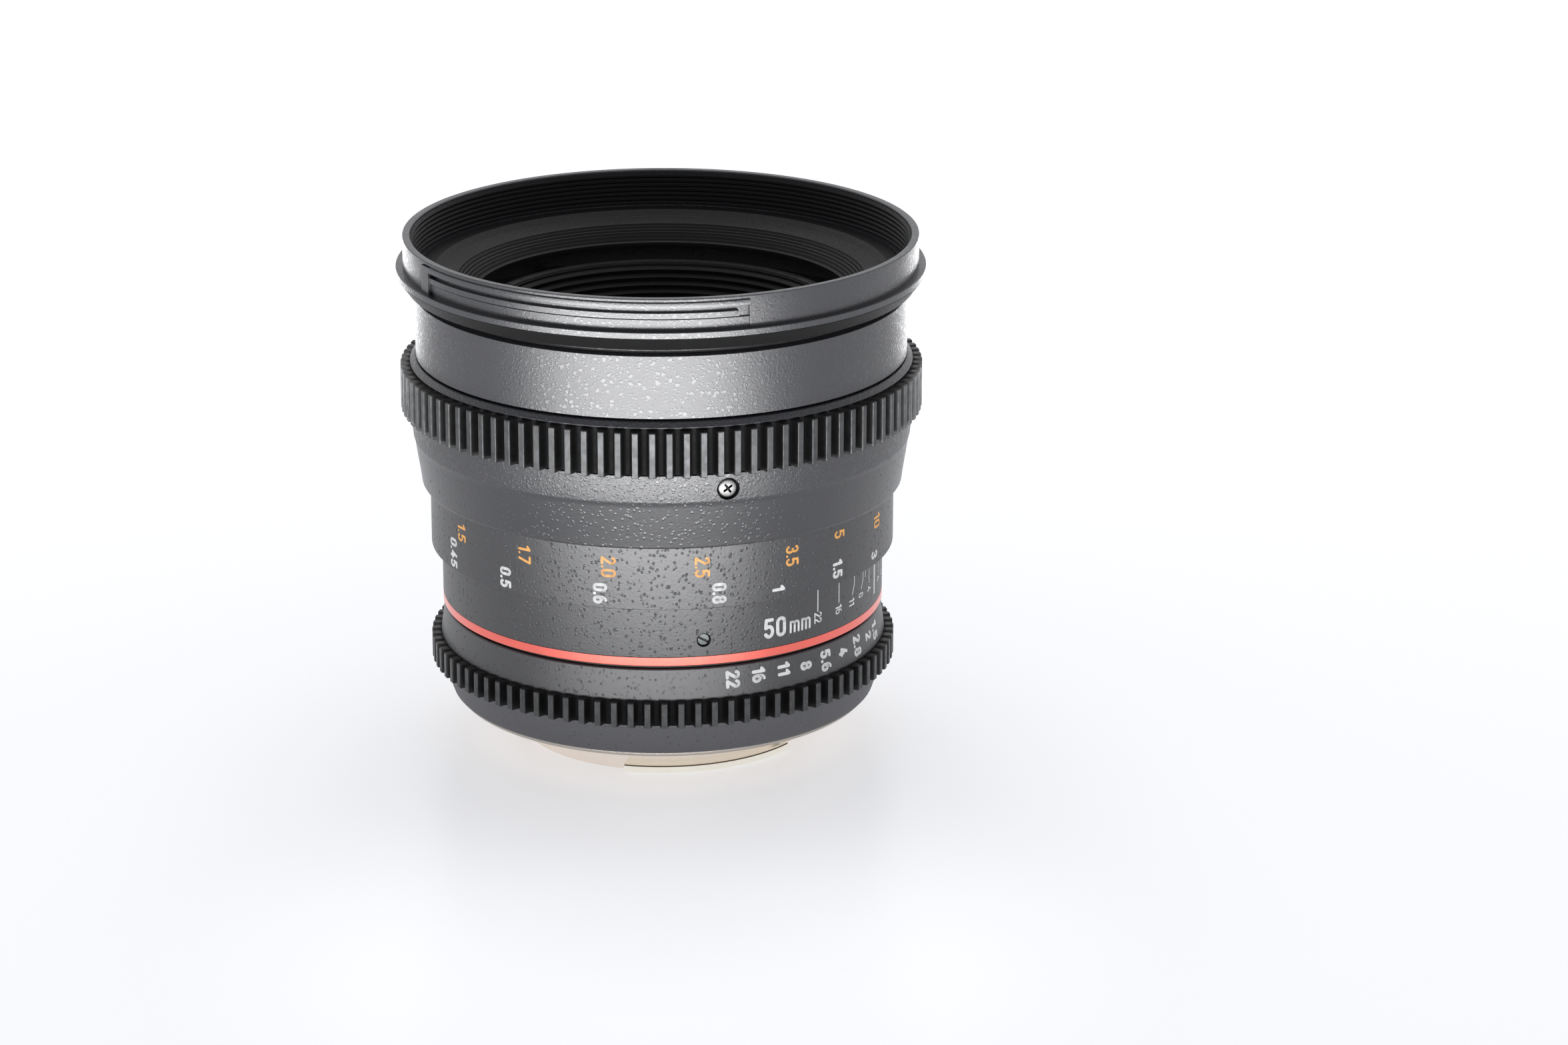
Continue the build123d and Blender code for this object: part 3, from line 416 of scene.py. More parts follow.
def spatter_paint(name, relief, grain=1.0, rough=0.4, gloss=0.3, dimpled_below=None, polished=None,
                  tone=0.009, index=1.8):
    """Black enamel with spattered relief: flat glossy flecks, drops and dimples on a finer orange peel.
    Below the height dimpled_below, in millimetres, drops and dimples stand for the flecks. polished is a
    range of heights, the share of roughness left there and the share of relief."""
    n = Nodes(name)
    kinds = (SMALL_FLECKS, LARGE_FLECKS, DROPS, DIMPLES)
    small, large, drops, dimples = [n.spots(scale * grain, *rest) for scale, *rest in kinds]
    flecks = n.math("MAXIMUM", small, large)
    share = DROPS_PLAIN
    if dimpled_below:
        edge = dimpled_below - 0.2, dimpled_below + 0.2
        flecks = n.math("MULTIPLY", flecks, n.step(n.height(), *edge, FLECKS_BELOW, 1.0))
        share = n.step(n.height(), *edge, 1.0, DROPS_ABOVE)
    drops, dimples = n.math("MULTIPLY", drops, share), n.math("MULTIPLY", dimples, share)
    peel = n.math("MULTIPLY", n.noise(PEEL_SCALE * grain, 1.0), PEEL_SHARE)
    height = n.math("ADD", n.math("MULTIPLY", flecks, FLECK_SHARE), peel)
    height = n.math("ADD", height, n.math("MULTIPLY", drops, DROP_SHARE))
    height = n.math("SUBTRACT", height, n.math("MULTIPLY", dimples, DIMPLE_SHARE))
    satin = n.math("ADD", n.blend(flecks, rough, gloss), n.math("MULTIPLY", dimples, DIMPLE_ROUGHNESS))
    if polished:
        low, high, rough_left, relief_left = polished
        below = n.step(n.height(), low - 0.1, low + 0.1, 1.0, 0.0)
        above = n.step(n.height(), high - 0.1, high + 0.1)
        outside = n.math("MAXIMUM", below, above)
        satin = n.math("MULTIPLY", satin, n.blend(outside, rough_left, 1.0))
        height = n.math("MULTIPLY", height, n.blend(outside, relief_left, 1.0))
    # Dimples are darkened in colour: painted shade in the pits
    paint = n.mix(flecks, blue_grey(tone), blue_grey(tone * 1.6))
    n.set(
        Base_Color=n.mix(dimples, paint, blue_grey(tone * 0.3)),
        Roughness=satin,
        IOR=index,
        Normal=n.bump(height, relief),
    )
    return n.material


def satin_black(name, tone, rough, relief=0.004):
    """Plain satin finish of a grey tone, with fine grain."""
    n = Nodes(name)
    grain = n.noise(3500, 3.0, 0.6)
    n.set(
        Base_Color=n.mix(grain, grey(tone * 0.8), grey(tone * 1.25)),
        Roughness=n.uneven(n.noise(900), rough - 0.06, rough + 0.06),
        Normal=n.bump(grain, relief),
    )
    return n.material


def gear_black(name, worn_from):
    """Black anodised teeth, rubbed to bare metal on their tips; worn_from is a radius in millimetres."""
    n = Nodes(name)
    grain = n.noise(3200, 3.0, 0.6)
    tips = n.step(n.radius(), worn_from, worn_from + 0.2)
    worn = n.math("MULTIPLY", tips, n.smoothstep(n.noise(900, 3.0, 0.6), 0.3, 0.65, 0.6, 1.0))
    dull = n.step(n.radius(), worn_from - 1.5, worn_from - 0.6, 0.45, 0.0)
    n.set(
        Base_Color=n.mix(worn, grey(0.006), grey(0.08, -0.03)),
        Metallic=n.math("MULTIPLY", worn, 0.4),
        Roughness=n.math("ADD", n.uneven(n.noise(800), 0.34, 0.44), dull),
        IOR=1.38,
        Normal=n.bump(grain, 0.004),
    )
    return n.material


def turned_metal(name, colour, rough, pitch=0.08, relief=0.0015, patch=0.06, painted_shade_below=None,
                 painted_shade_above=None, painted_shade_band=None):
    """Bare or plated metal with fine lathe lines round the axis, with painted shade: dark below one radius in
    millimetres, dark in a band of heights and darker above another radius."""
    n = Nodes(name)
    smudge = n.noise(160, 3.0, 0.6)
    tone = n.mix(smudge, shade(colour, 1 - patch), shade(colour, 1 + patch))
    # Painted shade: near black below a radius, where a screw sits down in its hole
    if painted_shade_below:
        tone = n.mix(n.step(n.radius(), painted_shade_below, painted_shade_below + 0.12, 1.0, 0.0), tone, grey(0.012))
    # Painted shade in a band of heights, as in the groove of a lug
    if painted_shade_band:
        low, high = painted_shade_band
        over_low = n.step(n.height(), low - 0.03, low)
        under_high = n.step(n.height(), high, high + 0.03, 1.0, 0.0)
        tone = n.mix(n.math("MULTIPLY", over_low, under_high), tone, GROOVE_SHADE)
    # Painted shade: darker above a radius
    if painted_shade_above:
        tone = n.mix(n.step(n.radius(), painted_shade_above, painted_shade_above + 0.3), tone, shade(colour, 0.5))
    n.set(
        Base_Color=tone,
        Metallic=1.0,
        Roughness=n.uneven(smudge, rough * 0.8, rough * 1.25),
        Normal=n.bump(n.turned_lines(n.across(), pitch), relief),
    )
    return n.material


def matt_black(name, tone=0.003, rough=0.42, pitch=0.25, relief=0.006):
    """Anti-reflection paint over fine turned grooves."""
    n = Nodes(name)
    speck = n.noise(2600, 2.0, 0.6)
    n.set(
        Base_Color=n.mix(speck, grey(tone * 0.7), grey(tone * 1.4)),
        Roughness=n.uneven(speck, rough - 0.05, rough + 0.08),
        IOR=1.3,
        Normal=n.bump(n.math("ADD", n.turned_lines(n.across(), pitch), speck), relief),
    )
    return n.material


def anodised(name, colour, rough):
    """Dyed glossy anodising over turned metal."""
    n = Nodes(name)
    cloud = n.noise(300)
    n.set(
        Base_Color=n.mix(cloud, shade(colour, 0.82), colour),
        Metallic=1.0,
        Roughness=n.uneven(cloud, rough * 0.85, rough * 1.15),
        Normal=n.bump(n.turned_lines(n.height(), 0.12), 0.001),
        Coat_Weight=1.0,
        Coat_Roughness=0.38,
        Coat_IOR=2.0,
    )
    return n.material


def print_paint(name, colour):
    """Filled engraving paint, a little uneven."""
    n = Nodes(name)
    uneven = n.noise(2200, 2.0, 0.6)
    n.set(
        Base_Color=n.mix(n.smoothstep(uneven, 0.35, 0.65), shade(colour, 0.86), colour),
        Roughness=0.5,
        Normal=n.bump(uneven, 0.006),
    )
    return n.material


def coated_glass(name, tint, index, film):
    """Clear glass with a film of a thickness in nanometres. The index stands for what the coatings leave
    of the glass's reflection."""
    n = Nodes(name)
    dust = n.smoothstep(n.noise(1300), 0.3, 0.75, 0.0, 0.02)
    n.set(
        Base_Color=n.mix(n.noise(90), tint, (1, 1, 1, 1)),
        Roughness=dust,
        Transmission_Weight=1.0,
        IOR=index,
        Thin_Film_Thickness=film,
        Thin_Film_IOR=1.27,
    )
    return n.material


# Brownish dark colour of the painted shade in the lug groove
GROOVE_SHADE = (0.28, 0.22, 0.16, 1)
EVERYWHERE = 100  # a height above the whole lens
PAINT = spatter_paint("spatter_paint", 0.025)
GRIP_PAINT = spatter_paint("grip_paint", 0.05, dimpled_below=48.6, polished=(41.2, 48.5, 0.78, 0.5))
RING_PAINT = spatter_paint(
    "ring_paint", 0.014, grain=1.1, rough=0.36, gloss=0.27, polished=(70, 74.4, 0.3, 0.0)
)
NAME_PAINT = spatter_paint("name_paint", 0.046, gloss=0.36, dimpled_below=EVERYWHERE)
APERTURE_PAINT = spatter_paint("aperture_paint", 0.018, grain=1.1, gloss=0.34, dimpled_below=EVERYWHERE)
# The rear barrel's enamel has a lighter tone than the rest: painted light, for the bright floor it reflects
REAR_PAINT_PAINTED_LIGHT = spatter_paint(
    "rear_paint_painted_light", 0.03, grain=1.45, rough=0.62, gloss=0.5, dimpled_below=EVERYWHERE, tone=0.022, index=2.15
)
GEAR_FOCUS = gear_black("focus_gear_black", 40.1)
GEAR_APERTURE = gear_black("aperture_gear_black", 36.15)
SATIN = satin_black("groove_black", 0.014, 0.42)
INSIDE = matt_black("inside_black")
RIDGED = matt_black("ridged_black", 0.004, 0.4, pitch=0.4, relief=0.008)
BARREL_EDGE = satin_black("barrel_edge_black", 0.03, 0.36, 0.003)
RED = anodised("red_anodised", (0.9, 0.07, 0.03, 1), 0.3)
# The mount's nickel is half as bright on its flange rim, above a radius of 31.5 mm: painted shade
NICKEL = turned_metal("mount_nickel", (0.88, 0.8, 0.72, 1), 0.2, painted_shade_above=31.5)
# The lugs' nickel is a lighter copy of the mount's, a painted highlight, with painted shade in their groove
LUG_NICKEL_LIT_AND_SHADED = turned_metal("lug_nickel_lit_and_shaded", (1.0, 0.95, 0.85, 1), 0.16, painted_shade_band=(1.22, 1.37))
SCREW_NICKEL = turned_metal("screw_nickel", (0.7, 0.69, 0.67, 1), 0.26, 0.3, 0.002)
# The grip and grub screws are near black below a radius: painted shade in their holes
GRIP_NICKEL = turned_metal(
    "grip_screw_nickel", (0.21, 0.21, 0.205, 1), 0.4, 0.3, 0.002, patch=0.3, painted_shade_below=38.35
)
SCREW_DARK = turned_metal("screw_dark", (0.11, 0.12, 0.115, 1), 0.4, 0.3, 0.002, painted_shade_below=33.75)
BRASS = turned_metal("brass", (0.78, 0.57, 0.27, 1), 0.24)
STEEL = turned_metal("steel", (0.6, 0.6, 0.61, 1), 0.28)
ALUMINIUM = turned_metal("black_aluminium", (0.12, 0.12, 0.125, 1), 0.34)
BLADE = turned_metal("blade_steel", (0.07, 0.07, 0.075, 1), 0.42, 0.5, 0.001)
WASHER = satin_black("washer_white", 0.6, 0.45)
WHITE = print_paint("white_print", (0.86, 0.86, 0.86, 1))
ORANGE = print_paint("orange_print", (1.0, 0.49, 0.13, 1))
GLASS_FRONT = coated_glass("front_glass", (0.96, 0.98, 0.97, 1), 1.55, 125)
GLASS_INNER = coated_glass("inner_glass", (0.97, 0.98, 0.98, 1), 1.14, 0)


# CAD nodes that stay: each gets its own finish
FINISHES = {
    INSIDE: ("rear_baffle", "front_cell", "front_spacer", "rear_cell", "rear_spacer", "middle_spacer",
             "doublet_sleeve", "front_barrel_screws"),
    BARREL_EDGE: ("optical_barrel",),
    SATIN: ("chassis_barrel", "iris_plate"),
    ALUMINIUM: ("guide_tube",),
    BRASS: ("cam_sleeve", "cam_rollers", "aperture_fork", "rear_retaining_ring", "iris_cam_ring",
            "iris_lever"),
    STEEL: ("roller_screws", "flange_shim"),
    SCREW_NICKEL: ("mount_screws",),
    WASHER: ("rear_thrust_washer", "front_thrust_washer"),
    BLADE: tuple(f"iris_blade_{n}" for n in range(1, 9)),
    GLASS_INNER: tuple(f"lens_element_{n}" for n in range(2, 9)),
}
for material, names in FINISHES.items():
    for node_name in names:
        mesh_slots = NODES[node_name].data.materials
        mesh_slots.clear()
        mesh_slots.append(material)


# Front ring: wall, stop flange, filter thread and two hood-bayonet pads, each a lip with a post at one end
# and a rail under it
PAD_SPAN = (-64.0, 19.0)
POST_END = -60.5
RAIL_END = 16.5
OVERLAP = 0.2
THREAD_LAND = 0.3
THREAD_ROOT = 0.65


def thread_profile(radius, z_from, z_to, pitch, depth):
    """Points down the inside of a thread, as closely spaced grooves."""
    points = []
    count = int((z_from - z_to) / pitch)
    for turn in range(count):
        z = z_from - turn * pitch
        points += [(radius, z), (radius, z - pitch * THREAD_LAND), (radius + depth, z - pitch * THREAD_ROOT)]
    points.append((radius, z_from - count * pitch))
    return points


def saw_profile(start, fall, count, middle, foot):
    """Teeth inwards and down from a (radius, height), falling by two lengths in all; middle and foot are
    a tooth's offsets from its tip."""
    points = []
    for step in range(count):
        r, z = start[0] - fall[0] * step / count, start[1] - fall[1] * step / count
        points += [(r, z), (r - middle[0], z - middle[1]), (r - foot[0], z - foot[1])]
    return points


front = bmesh.new()
add_lathe(
    front,
    [
        (34.4, 69.6), (35.95, 69.6), (35.95, 72.5), (39.0, 72.5), (39.2, 72.6), (39.4, 72.88), (40.58, 74.48),
        (40.8, 74.58), (40.8, 75.4), (40.74, 75.5), (40.6, 75.55), (39.7, 75.55), (39.15, 75.55),
        (39.15, 78.9), (39.7, 78.9), (39.7, 80.1), (39.66, 80.22), (39.55, 80.3), (38.72, 80.3),
        (38.6, 80.27), (38.5, 80.1), (38.5, 74.8), (37.2, 74.8), (37.2, 73.5), (34.4, 73.5),
    ],
)
for side in (0, 180):
    start, end = PAD_SPAN[0] + side, PAD_SPAN[1] + side
    post_end, rail_end = POST_END + side, RAIL_END + side
    add_lathe(front, rounded(block(39.0, 39.68, 75.4, 79.2), 0.05), end, post_end + 180)
    add_lathe(front, rounded(block(39.3, 40.05, 78.9, 79.75), 0.1), start, end)
    add_lathe(front, rounded(block(39.0, 40.05, 75.45, 79.75), 0.1), start, post_end)
    add_lathe(front, rounded(block(39.0, 39.9, 77.3, 78.2), 0.08), post_end - OVERLAP, rail_end)
    add_lathe(front, rounded(block(39.0, 39.5, 75.3, 77.1), 0.06), post_end - OVERLAP, end + OVERLAP / 2)
piece("front_ring_body", front, RING_PAINT, "barrel", ["front_ring"])
# A thin matt black sheet over the underside of the stop flange: painted shade
lathe(
    "front_flange_shade_sheet",
    [
        (36.0, 72.4), (39.0, 72.4), (39.3, 72.5), (39.5, 72.8), (40.72, 74.47), (40.6, 74.56), (39.3, 72.95),
        (39.0, 72.6), (36.0, 72.6),
    ],
    INSIDE, "barrel", edge=0.03,
)
lathe(
    "filter_thread_body",
    [(38.48, 79.9), (38.3, 79.6), *thread_profile(38.15, 79.4, 74.85, 0.75, 0.2), (38.48, 74.85)],
    INSIDE, "barrel", edge=0,
)

# Baffle inside the front ring
lathe(
    "front_baffle_body",
    [
        (37.2, 73.5), (37.2, 74.55), (37.1, 74.65), (34.9, 74.65), (33.75, 73.82), (33.6, 73.78),
        *saw_profile((31.4, 73.2), (2.4, 2.4), 6, (0.12, 0.28), (0.3, 0.3)), (29.0, 70.8), (28.75, 70.75),
        (28.75, 69.95), (30.0, 69.9), (32.4, 72.3), (34.4, 72.9), (34.4, 73.5),
    ],
    INSIDE, "barrel", ["front_baffle"], edge=0.05,
)

# Neck between front ring and focus gear, with the skirt that the focus ring turns on
lathe(
    "front_barrel_body",
    [
        (34.3, 55.6), (36.0, 55.6), (36.0, 61.5), (38.0, 61.5), (38.0, 71.1), (37.9, 71.2), (36.5, 71.25),
        (36.5, 72.4), (36.0, 72.4), (36.0, 65.6), (30.9, 65.6), (30.9, 64.0), (34.3, 64.0),
    ],
    PAINT, "barrel", ["front_barrel"], edge=0.1,
)

# Focus ring: lip, gear, tapered grip and scale band
focus_body = lathe(
    "focus_ring_body",
    [
        (34.56, 31.1), (36.15, 31.1), (36.15, 41.08), (37.25, 41.1), (37.42, 41.35), (37.68, 43.3),
        (38.08, 45.8), (38.36, 47.75), (38.48, 48.3), (38.62, 48.75), (38.78, 50.2), (38.95, 52.98),
        (37.6, 53.0), (37.6, 60.0), (38.65, 60.02), (38.95, 60.4), (38.3, 61.1), (38.1, 61.2), (36.06, 61.2),
        (36.06, 55.2), (32.32, 55.2), (32.32, 46.5), (34.0, 46.5), (34.0, 38.7), (34.56, 38.7),
    ],
    GRIP_PAINT, "focus_ring", ["focus_ring"], edge=0.1,
)
screw_holes = bmesh.new()
for azimuth in thirds(FOCUS_SCREW_AT):
    add_radial_plug(screw_holes, azimuth, 37.4, FOCUS_SCREW_Z, [(1.75, 0), (1.75, 3)])
cut(focus_body, screw_holes)
gear("focus_gear", 99, 1.55, 37.0, 53.0, 60.0, GEAR_FOCUS, "focus_ring")

# Cross-head screws in the grip
heads = bmesh.new()
bars = {35: bmesh.new(), 125: bmesh.new()}
for azimuth in thirds(FOCUS_SCREW_AT):
    add_radial_plug(
        heads, azimuth, 37.4, FOCUS_SCREW_Z,
        [
            (0.9, -6.4), (0.9, 0), (1.58, 0), (1.58, 0.7), (1.52, 0.86), (1.38, 0.98), (1.1, 1.07),
            (0.7, 1.12), (0, 1.14),
        ],
    )
    for turn, bar in bars.items():
        add_driver_slot(bar, azimuth, 38.5, FOCUS_SCREW_Z, turn, (1.6, 0.36, 1.3))
screw_heads = piece("grip_screws", heads, GRIP_NICKEL, "focus_ring", ["focus_ring_screws"])
for bar in bars.values():
    cut(screw_heads, bar)

# Name barrel with its slotted grub screws
name_body = lathe(
    "name_barrel_body",
    [(31.44, 22.9), (34.5, 22.9), (34.5, 24.3), (34.5, 26.7), (34.5, 38.4), (31.44, 38.4)],
    NAME_PAINT, "barrel", ["name_barrel"], edge=0.1,
)
grub_holes = bmesh.new()
grubs = bmesh.new()
slots = bmesh.new()
for azimuth in thirds(GRUB_AT):
    add_radial_plug(grub_holes, azimuth, 33.6, GRUB_Z, [(1.1, 0), (1.1, 2)])
    add_radial_plug(grubs, azimuth, 31.0, GRUB_Z, [(1.06, 0), (1.06, 2.95), (0.85, 3.15), (0, 3.17)])
    add_driver_slot(slots, azimuth, 34.1, GRUB_Z, 60, (2.6, 0.36, 1.0))
cut(name_body, grub_holes)
grub_piece = piece("grub_screw_heads", grubs, SCREW_DARK, "barrel", ["grub_screws"])
cut(grub_piece, slots)

# Red ring, aperture ring and rear barrel
lathe(
    "red_ring_body",
    [(31.44, 21.5), (34.42, 21.5), (34.5, 21.6), (34.5, 22.88), (31.44, 22.88)],
    RED, "barrel", ["red_ring"], edge=0.08,
)
lathe(
    "aperture_ring_body",
    [
        (33.2, 12.15), (33.6, 12.15), (33.6, 16.1), (34.9, 16.12), *APERTURE_SCALE, (34.1, 21.0),
        (33.2, 21.0),
    ],
    APERTURE_PAINT, "aperture_ring", ["aperture_ring"], edge=0.1,
)
gear("aperture_gear", 89, 0.2, 33.2, 12.15, 16.1, GEAR_APERTURE, "aperture_ring")
lathe(
    "rear_barrel_body",
    [
        (30.5, 6.77), (32.6, 6.77), (32.95, 6.9), (33.25, 7.25), (33.45, 7.8), (34.6, 11.75), (34.55, 11.95),
        (34.4, 12.0), (31.5, 12.0), (31.5, 8.8), (30.5, 8.8),
    ],
    REAR_PAINT_PAINTED_LIGHT, "barrel", ["rear_barrel"], edge=0.06,
)

# Bayonet mount
mount = bmesh.new()
add_lathe(
    mount,
    rounded(
        [
            (20.2, 0.4), (20.6, 0.0), (22.35, 0.0), (22.6, 0.25), (22.6, 6.15), (32.25, 6.15), (32.4, 6.3),
            (32.4, 6.75), (30.45, 6.75), (30.45, 8.6), (20.2, 8.6),
        ],
        0.05,
    ),
)
mount_body = piece("mount_body", mount, NICKEL, "barrel", ["bayonet_mount"])
holes = bmesh.new()
for quarter in range(4):
    add_plug(
        holes, place(MOUNT_SCREW_R, MOUNT_SCREW_AT - 90 * quarter, 0), UP, Vector((1, 0, 0)),
        [(1.85, 6.0), (1.75, 6.15), (0.85, 7.05), (0.85, 9.0)], HOLE_SEGMENTS,
    )
cut(mount_body, holes)
lugs = bmesh.new()
for lug_start, lug_end in LUGS:
    add_lathe(
        lugs,
        [
            (22.0, 0.2), (24.05, 0.2), (24.2, 0.35), (24.2, 1.2), (24.0, 1.25), (24.0, 1.35), (24.12, 1.4),
            (24.0, 1.55), (22.0, 1.55),
        ],
        lug_start, lug_end,
    )
piece("mount_lugs", lugs, LUG_NICKEL_LIT_AND_SHADED, "barrel")
pin = bmesh.new()
add_radial_plug(pin, STOP_PIN_AT, 21.2, STOP_PIN_Z, [(0.6, 0), (0.6, 2.5), (0.5, 2.66), (0, 2.7)])
piece("stop_pin", pin, SCREW_NICKEL, "barrel", ["bayonet_stop_pin"])

# Ridged ring round the front element, and the two outer elements
lathe(
    "trim_ring_body",
    [
        (26.38, 56.4), (26.38, 68.0), (26.0, 68.0),
        *saw_profile((26.0, 67.6), (4.0, 10.4), 9, (0.55, 0.42), (0.6, 0.5)), (22.0, 57.2), (22.0, 56.52),
        (22.4, 56.52), (22.4, 56.4),
    ],
    RIDGED, "optical_unit", ["front_trim_ring"], edge=0.04,
)
LENS_STEPS = 28
LENS_SEGMENTS = 160


def lens(name, node, rim, front_face, rear_face, material):
    """Glass element from two spherical faces, each a vertex height and a signed curvature radius."""

    def height(face, radius):
        vertex, curve = face
        return vertex - math.copysign(abs(curve) - math.sqrt(curve**2 - radius**2), curve)

    radii = [rim * i / LENS_STEPS for i in range(LENS_STEPS + 1)]
    outline = [(r, height(rear_face, r)) for r in radii]
    outline += [(r, height(front_face, r)) for r in reversed(radii)]
    bm = bmesh.new()
    rows = []
    for i in range(LENS_SEGMENTS):
        rows.append([bm.verts.new(place(r, 360 * i / LENS_SEGMENTS, z)) for r, z in outline])
    bridge(bm, rows, along=False)
    bmesh.ops.remove_doubles(bm, verts=bm.verts, dist=MERGE_DISTANCE)
    piece(name, bm, material, "optical_unit", [node], angle=40)


lens("front_element", "lens_element_1", 22.4, (61.6, 50), (56.0, 130), GLASS_FRONT)
lens("rear_element", "lens_element_9", 14.8, (7.2, 70), (3.0, -200), GLASS_FRONT)


# Numbers: a round-ended engraver's alphabet, drawn as strokes and laid on the rings
STROKE_SEGMENTS = 12
LONGEST_CUT = 0.35
PRINT_LIFT = 0.012


def arc(cx, cy, rx, ry, start, end, steps=10):
    """Points along part of an ellipse, between two angles in degrees."""
    points = []
    for step in range(steps + 1):
        angle = math.radians(start + (end - start) * step / steps)
        points.append((cx + rx * math.cos(angle), cy + ry * math.sin(angle)))
    return points


# Each letter is a width and its strokes, for a height of 1
GLYPHS = {
    "0": (0.46, [arc(0.23, 0.77, 0.23, 0.23, 0, 180) + arc(0.23, 0.23, 0.23, 0.23, 180, 360)
                 + [(0.46, 0.77)]]),
    "1": (0.3, [[(0.02, 0.8), (0.26, 1.0), (0.26, 0.0)]]),
    "2": (0.46, [arc(0.23, 0.76, 0.22, 0.24, 165, -25) + [(0.0, 0.0), (0.46, 0.0)]]),
    "3": (0.46, [arc(0.22, 0.76, 0.21, 0.24, 155, -75) + [(0.2, 0.53)]
                 + arc(0.22, 0.27, 0.24, 0.27, 80, -155)]),
    "4": (0.5, [[(0.34, 0.0), (0.34, 0.52)], [(0.28, 1.0), (0.0, 0.26), (0.5, 0.26)]]),
    "5": (0.46, [[(0.43, 1.0), (0.05, 1.0), (0.02, 0.55)] + arc(0.22, 0.31, 0.24, 0.31, 130, -150)]),
    "6": (0.46, [arc(0.3, 0.6, 0.3, 0.4, 100, 180) + [(0.0, 0.3)] + arc(0.23, 0.3, 0.23, 0.3, 180, 540, 18)]),
    "7": (0.46, [[(0.0, 1.0), (0.46, 1.0), (0.16, 0.0)]]),
    "8": (0.46, [arc(0.23, 0.76, 0.2, 0.24, -90, 270, 16), arc(0.23, 0.27, 0.23, 0.27, 90, 450, 16)]),
    ".": (0.0, [[(0.0, 0.02)]]),
    "m": (0.58, [[(0.0, 0.62), (0.0, 0.0)], arc(0.145, 0.475, 0.145, 0.145, 165, 0) + [(0.29, 0.0)],
                 arc(0.435, 0.475, 0.145, 0.145, 180, 0) + [(0.58, 0.0)]]),
}


def add_stroke(bm, points, width, lay):
    """Ribbon with round joints along flat points; lay puts a flat point on the ring."""
    half = width / 2
    for i, (x, y) in enumerate(points):
        rim = []
        for step in range(STROKE_SEGMENTS):
            angle = 2 * math.pi * step / STROKE_SEGMENTS
            rim.append(bm.verts.new(lay(x + half * math.cos(angle), y + half * math.sin(angle))))
        bm.faces.new(rim)
        if i + 1 < len(points):
            nx, ny = points[i + 1]
            length = math.hypot(nx - x, ny - y)
            if length < TINY:
                continue
            sx, sy = -(ny - y) / length * half, (nx - x) / length * half
            cuts = max(1, math.ceil(length / LONGEST_CUT))
            for step in range(cuts):
                a, b = step / cuts, (step + 1) / cuts
                ax, ay = x + (nx - x) * a, y + (ny - y) * a
                bx, by = x + (nx - x) * b, y + (ny - y) * b
                quad = [(ax - sx, ay - sy), (bx - sx, by - sy), (bx + sx, by + sy), (ax + sx, ay + sy)]
                bm.faces.new([bm.verts.new(lay(*corner)) for corner in quad])


def text_length(text, size, stroke, gap):
    """Length of a word in millimetres, from edge to edge."""
    return sum(GLYPHS[c][0] * size + stroke for c in text) + gap * (len(text) - 1)


def on_band(_):
    """Radius of the distance scale, at any height."""
    return BAND_R


def on_name_barrel(_):
    """Radius of the fixed barrel, at any height."""
    return NAME_R


def on_aperture_ring(z):
    """Radius of the tapered aperture scale at a height."""
    (low_r, low_z), (high_r, high_z) = APERTURE_SCALE
    return low_r + (z - low_z) * (high_r - low_r) / (high_z - low_z)


def numbers(name, words, material, body, radius_at, size, stroke, gap, turned=True):
    """Lay words on a ring. Each is (text, azimuth of its middle, height of its start). Turned words
    run down the barrel with their heads towards rising azimuth; the others stand upright."""
    bm = bmesh.new()
    for text, azimuth, z_start in words:
        length = text_length(text, size, stroke, gap)

        def lay(u, v, azimuth=azimuth, z_start=z_start, length=length):
            z, along = (z_start - u, v) if turned else (z_start + v, u - length / 2)
            radius = radius_at(z) + PRINT_LIFT
            return place(radius, azimuth + math.degrees(along / radius), z)

        cursor = stroke / 2
        for letter in text:
            width, strokes = GLYPHS[letter]
            for points in strokes:
                add_stroke(bm, [(cursor + px * size, (py - 0.5) * size) for px, py in points], stroke, lay)
            cursor += width * size + stroke + gap
    piece(name, bm, material, body, angle=60)


def engraved_line(bm, points, width, radius):
    """Thin filled line through (azimuth, height) points on a cylinder."""

    def lay(u, v):
        return place(radius + PRINT_LIFT, math.degrees(u / radius), v)

    add_stroke(bm, [(math.radians(azimuth) * radius, z) for azimuth, z in points], width, lay)


# Words of each scale: text, azimuth and height
FEET = (("1.5", -57.9, 39.3), ("1.7", -35.1, 39.3), ("2.0", -13.0, 39.3), ("2.5", 9.4, 39.3),
        ("3.5", 32.6, 39.3), ("5", 47.9, 39.6), ("10", 65.6, 39.3))
METRES = (("0.45", -62.2, 36.2), ("0.5", -41.1, 35.0), ("0.6", -15.1, 35.0), ("0.8", 13.5, 35.0),
          ("1", 28.8, 33.4), ("1.5", 47.3, 35.0), ("3", 64.2, 33.4))
STOPS = (("22", 17.7, 20.2), ("16", 24.7, 20.2), ("11", 32.0, 20.2), ("8", 39.0, 19.4), ("5.6", 46.0, 20.2),
         ("4", 53.1, 19.4), ("2.8", 60.0, 20.2), ("2", 67.0, 19.4), ("1.5", 72.2, 20.2))
FOCAL_LENGTH = (("50", 29.4, 26.05),)
FOCAL_UNIT = (("mm", 37.15, 26.05),)
numbers("feet_numbers", FEET, ORANGE, "focus_ring", on_band, 1.95, 0.38, 0.16)
numbers("metre_numbers", METRES, WHITE, "focus_ring", on_band, 1.78, 0.48, 0.1)
numbers("stop_numbers", STOPS, WHITE, "aperture_ring", on_aperture_ring, 1.78, 0.52, 0.08)
numbers("focal_length", FOCAL_LENGTH, WHITE, "barrel", on_name_barrel, 2.66, 0.56, 0.34, turned=False)
numbers("focal_unit", FOCAL_UNIT, WHITE, "barrel", on_name_barrel, 2.6, 0.37, 0.33, turned=False)

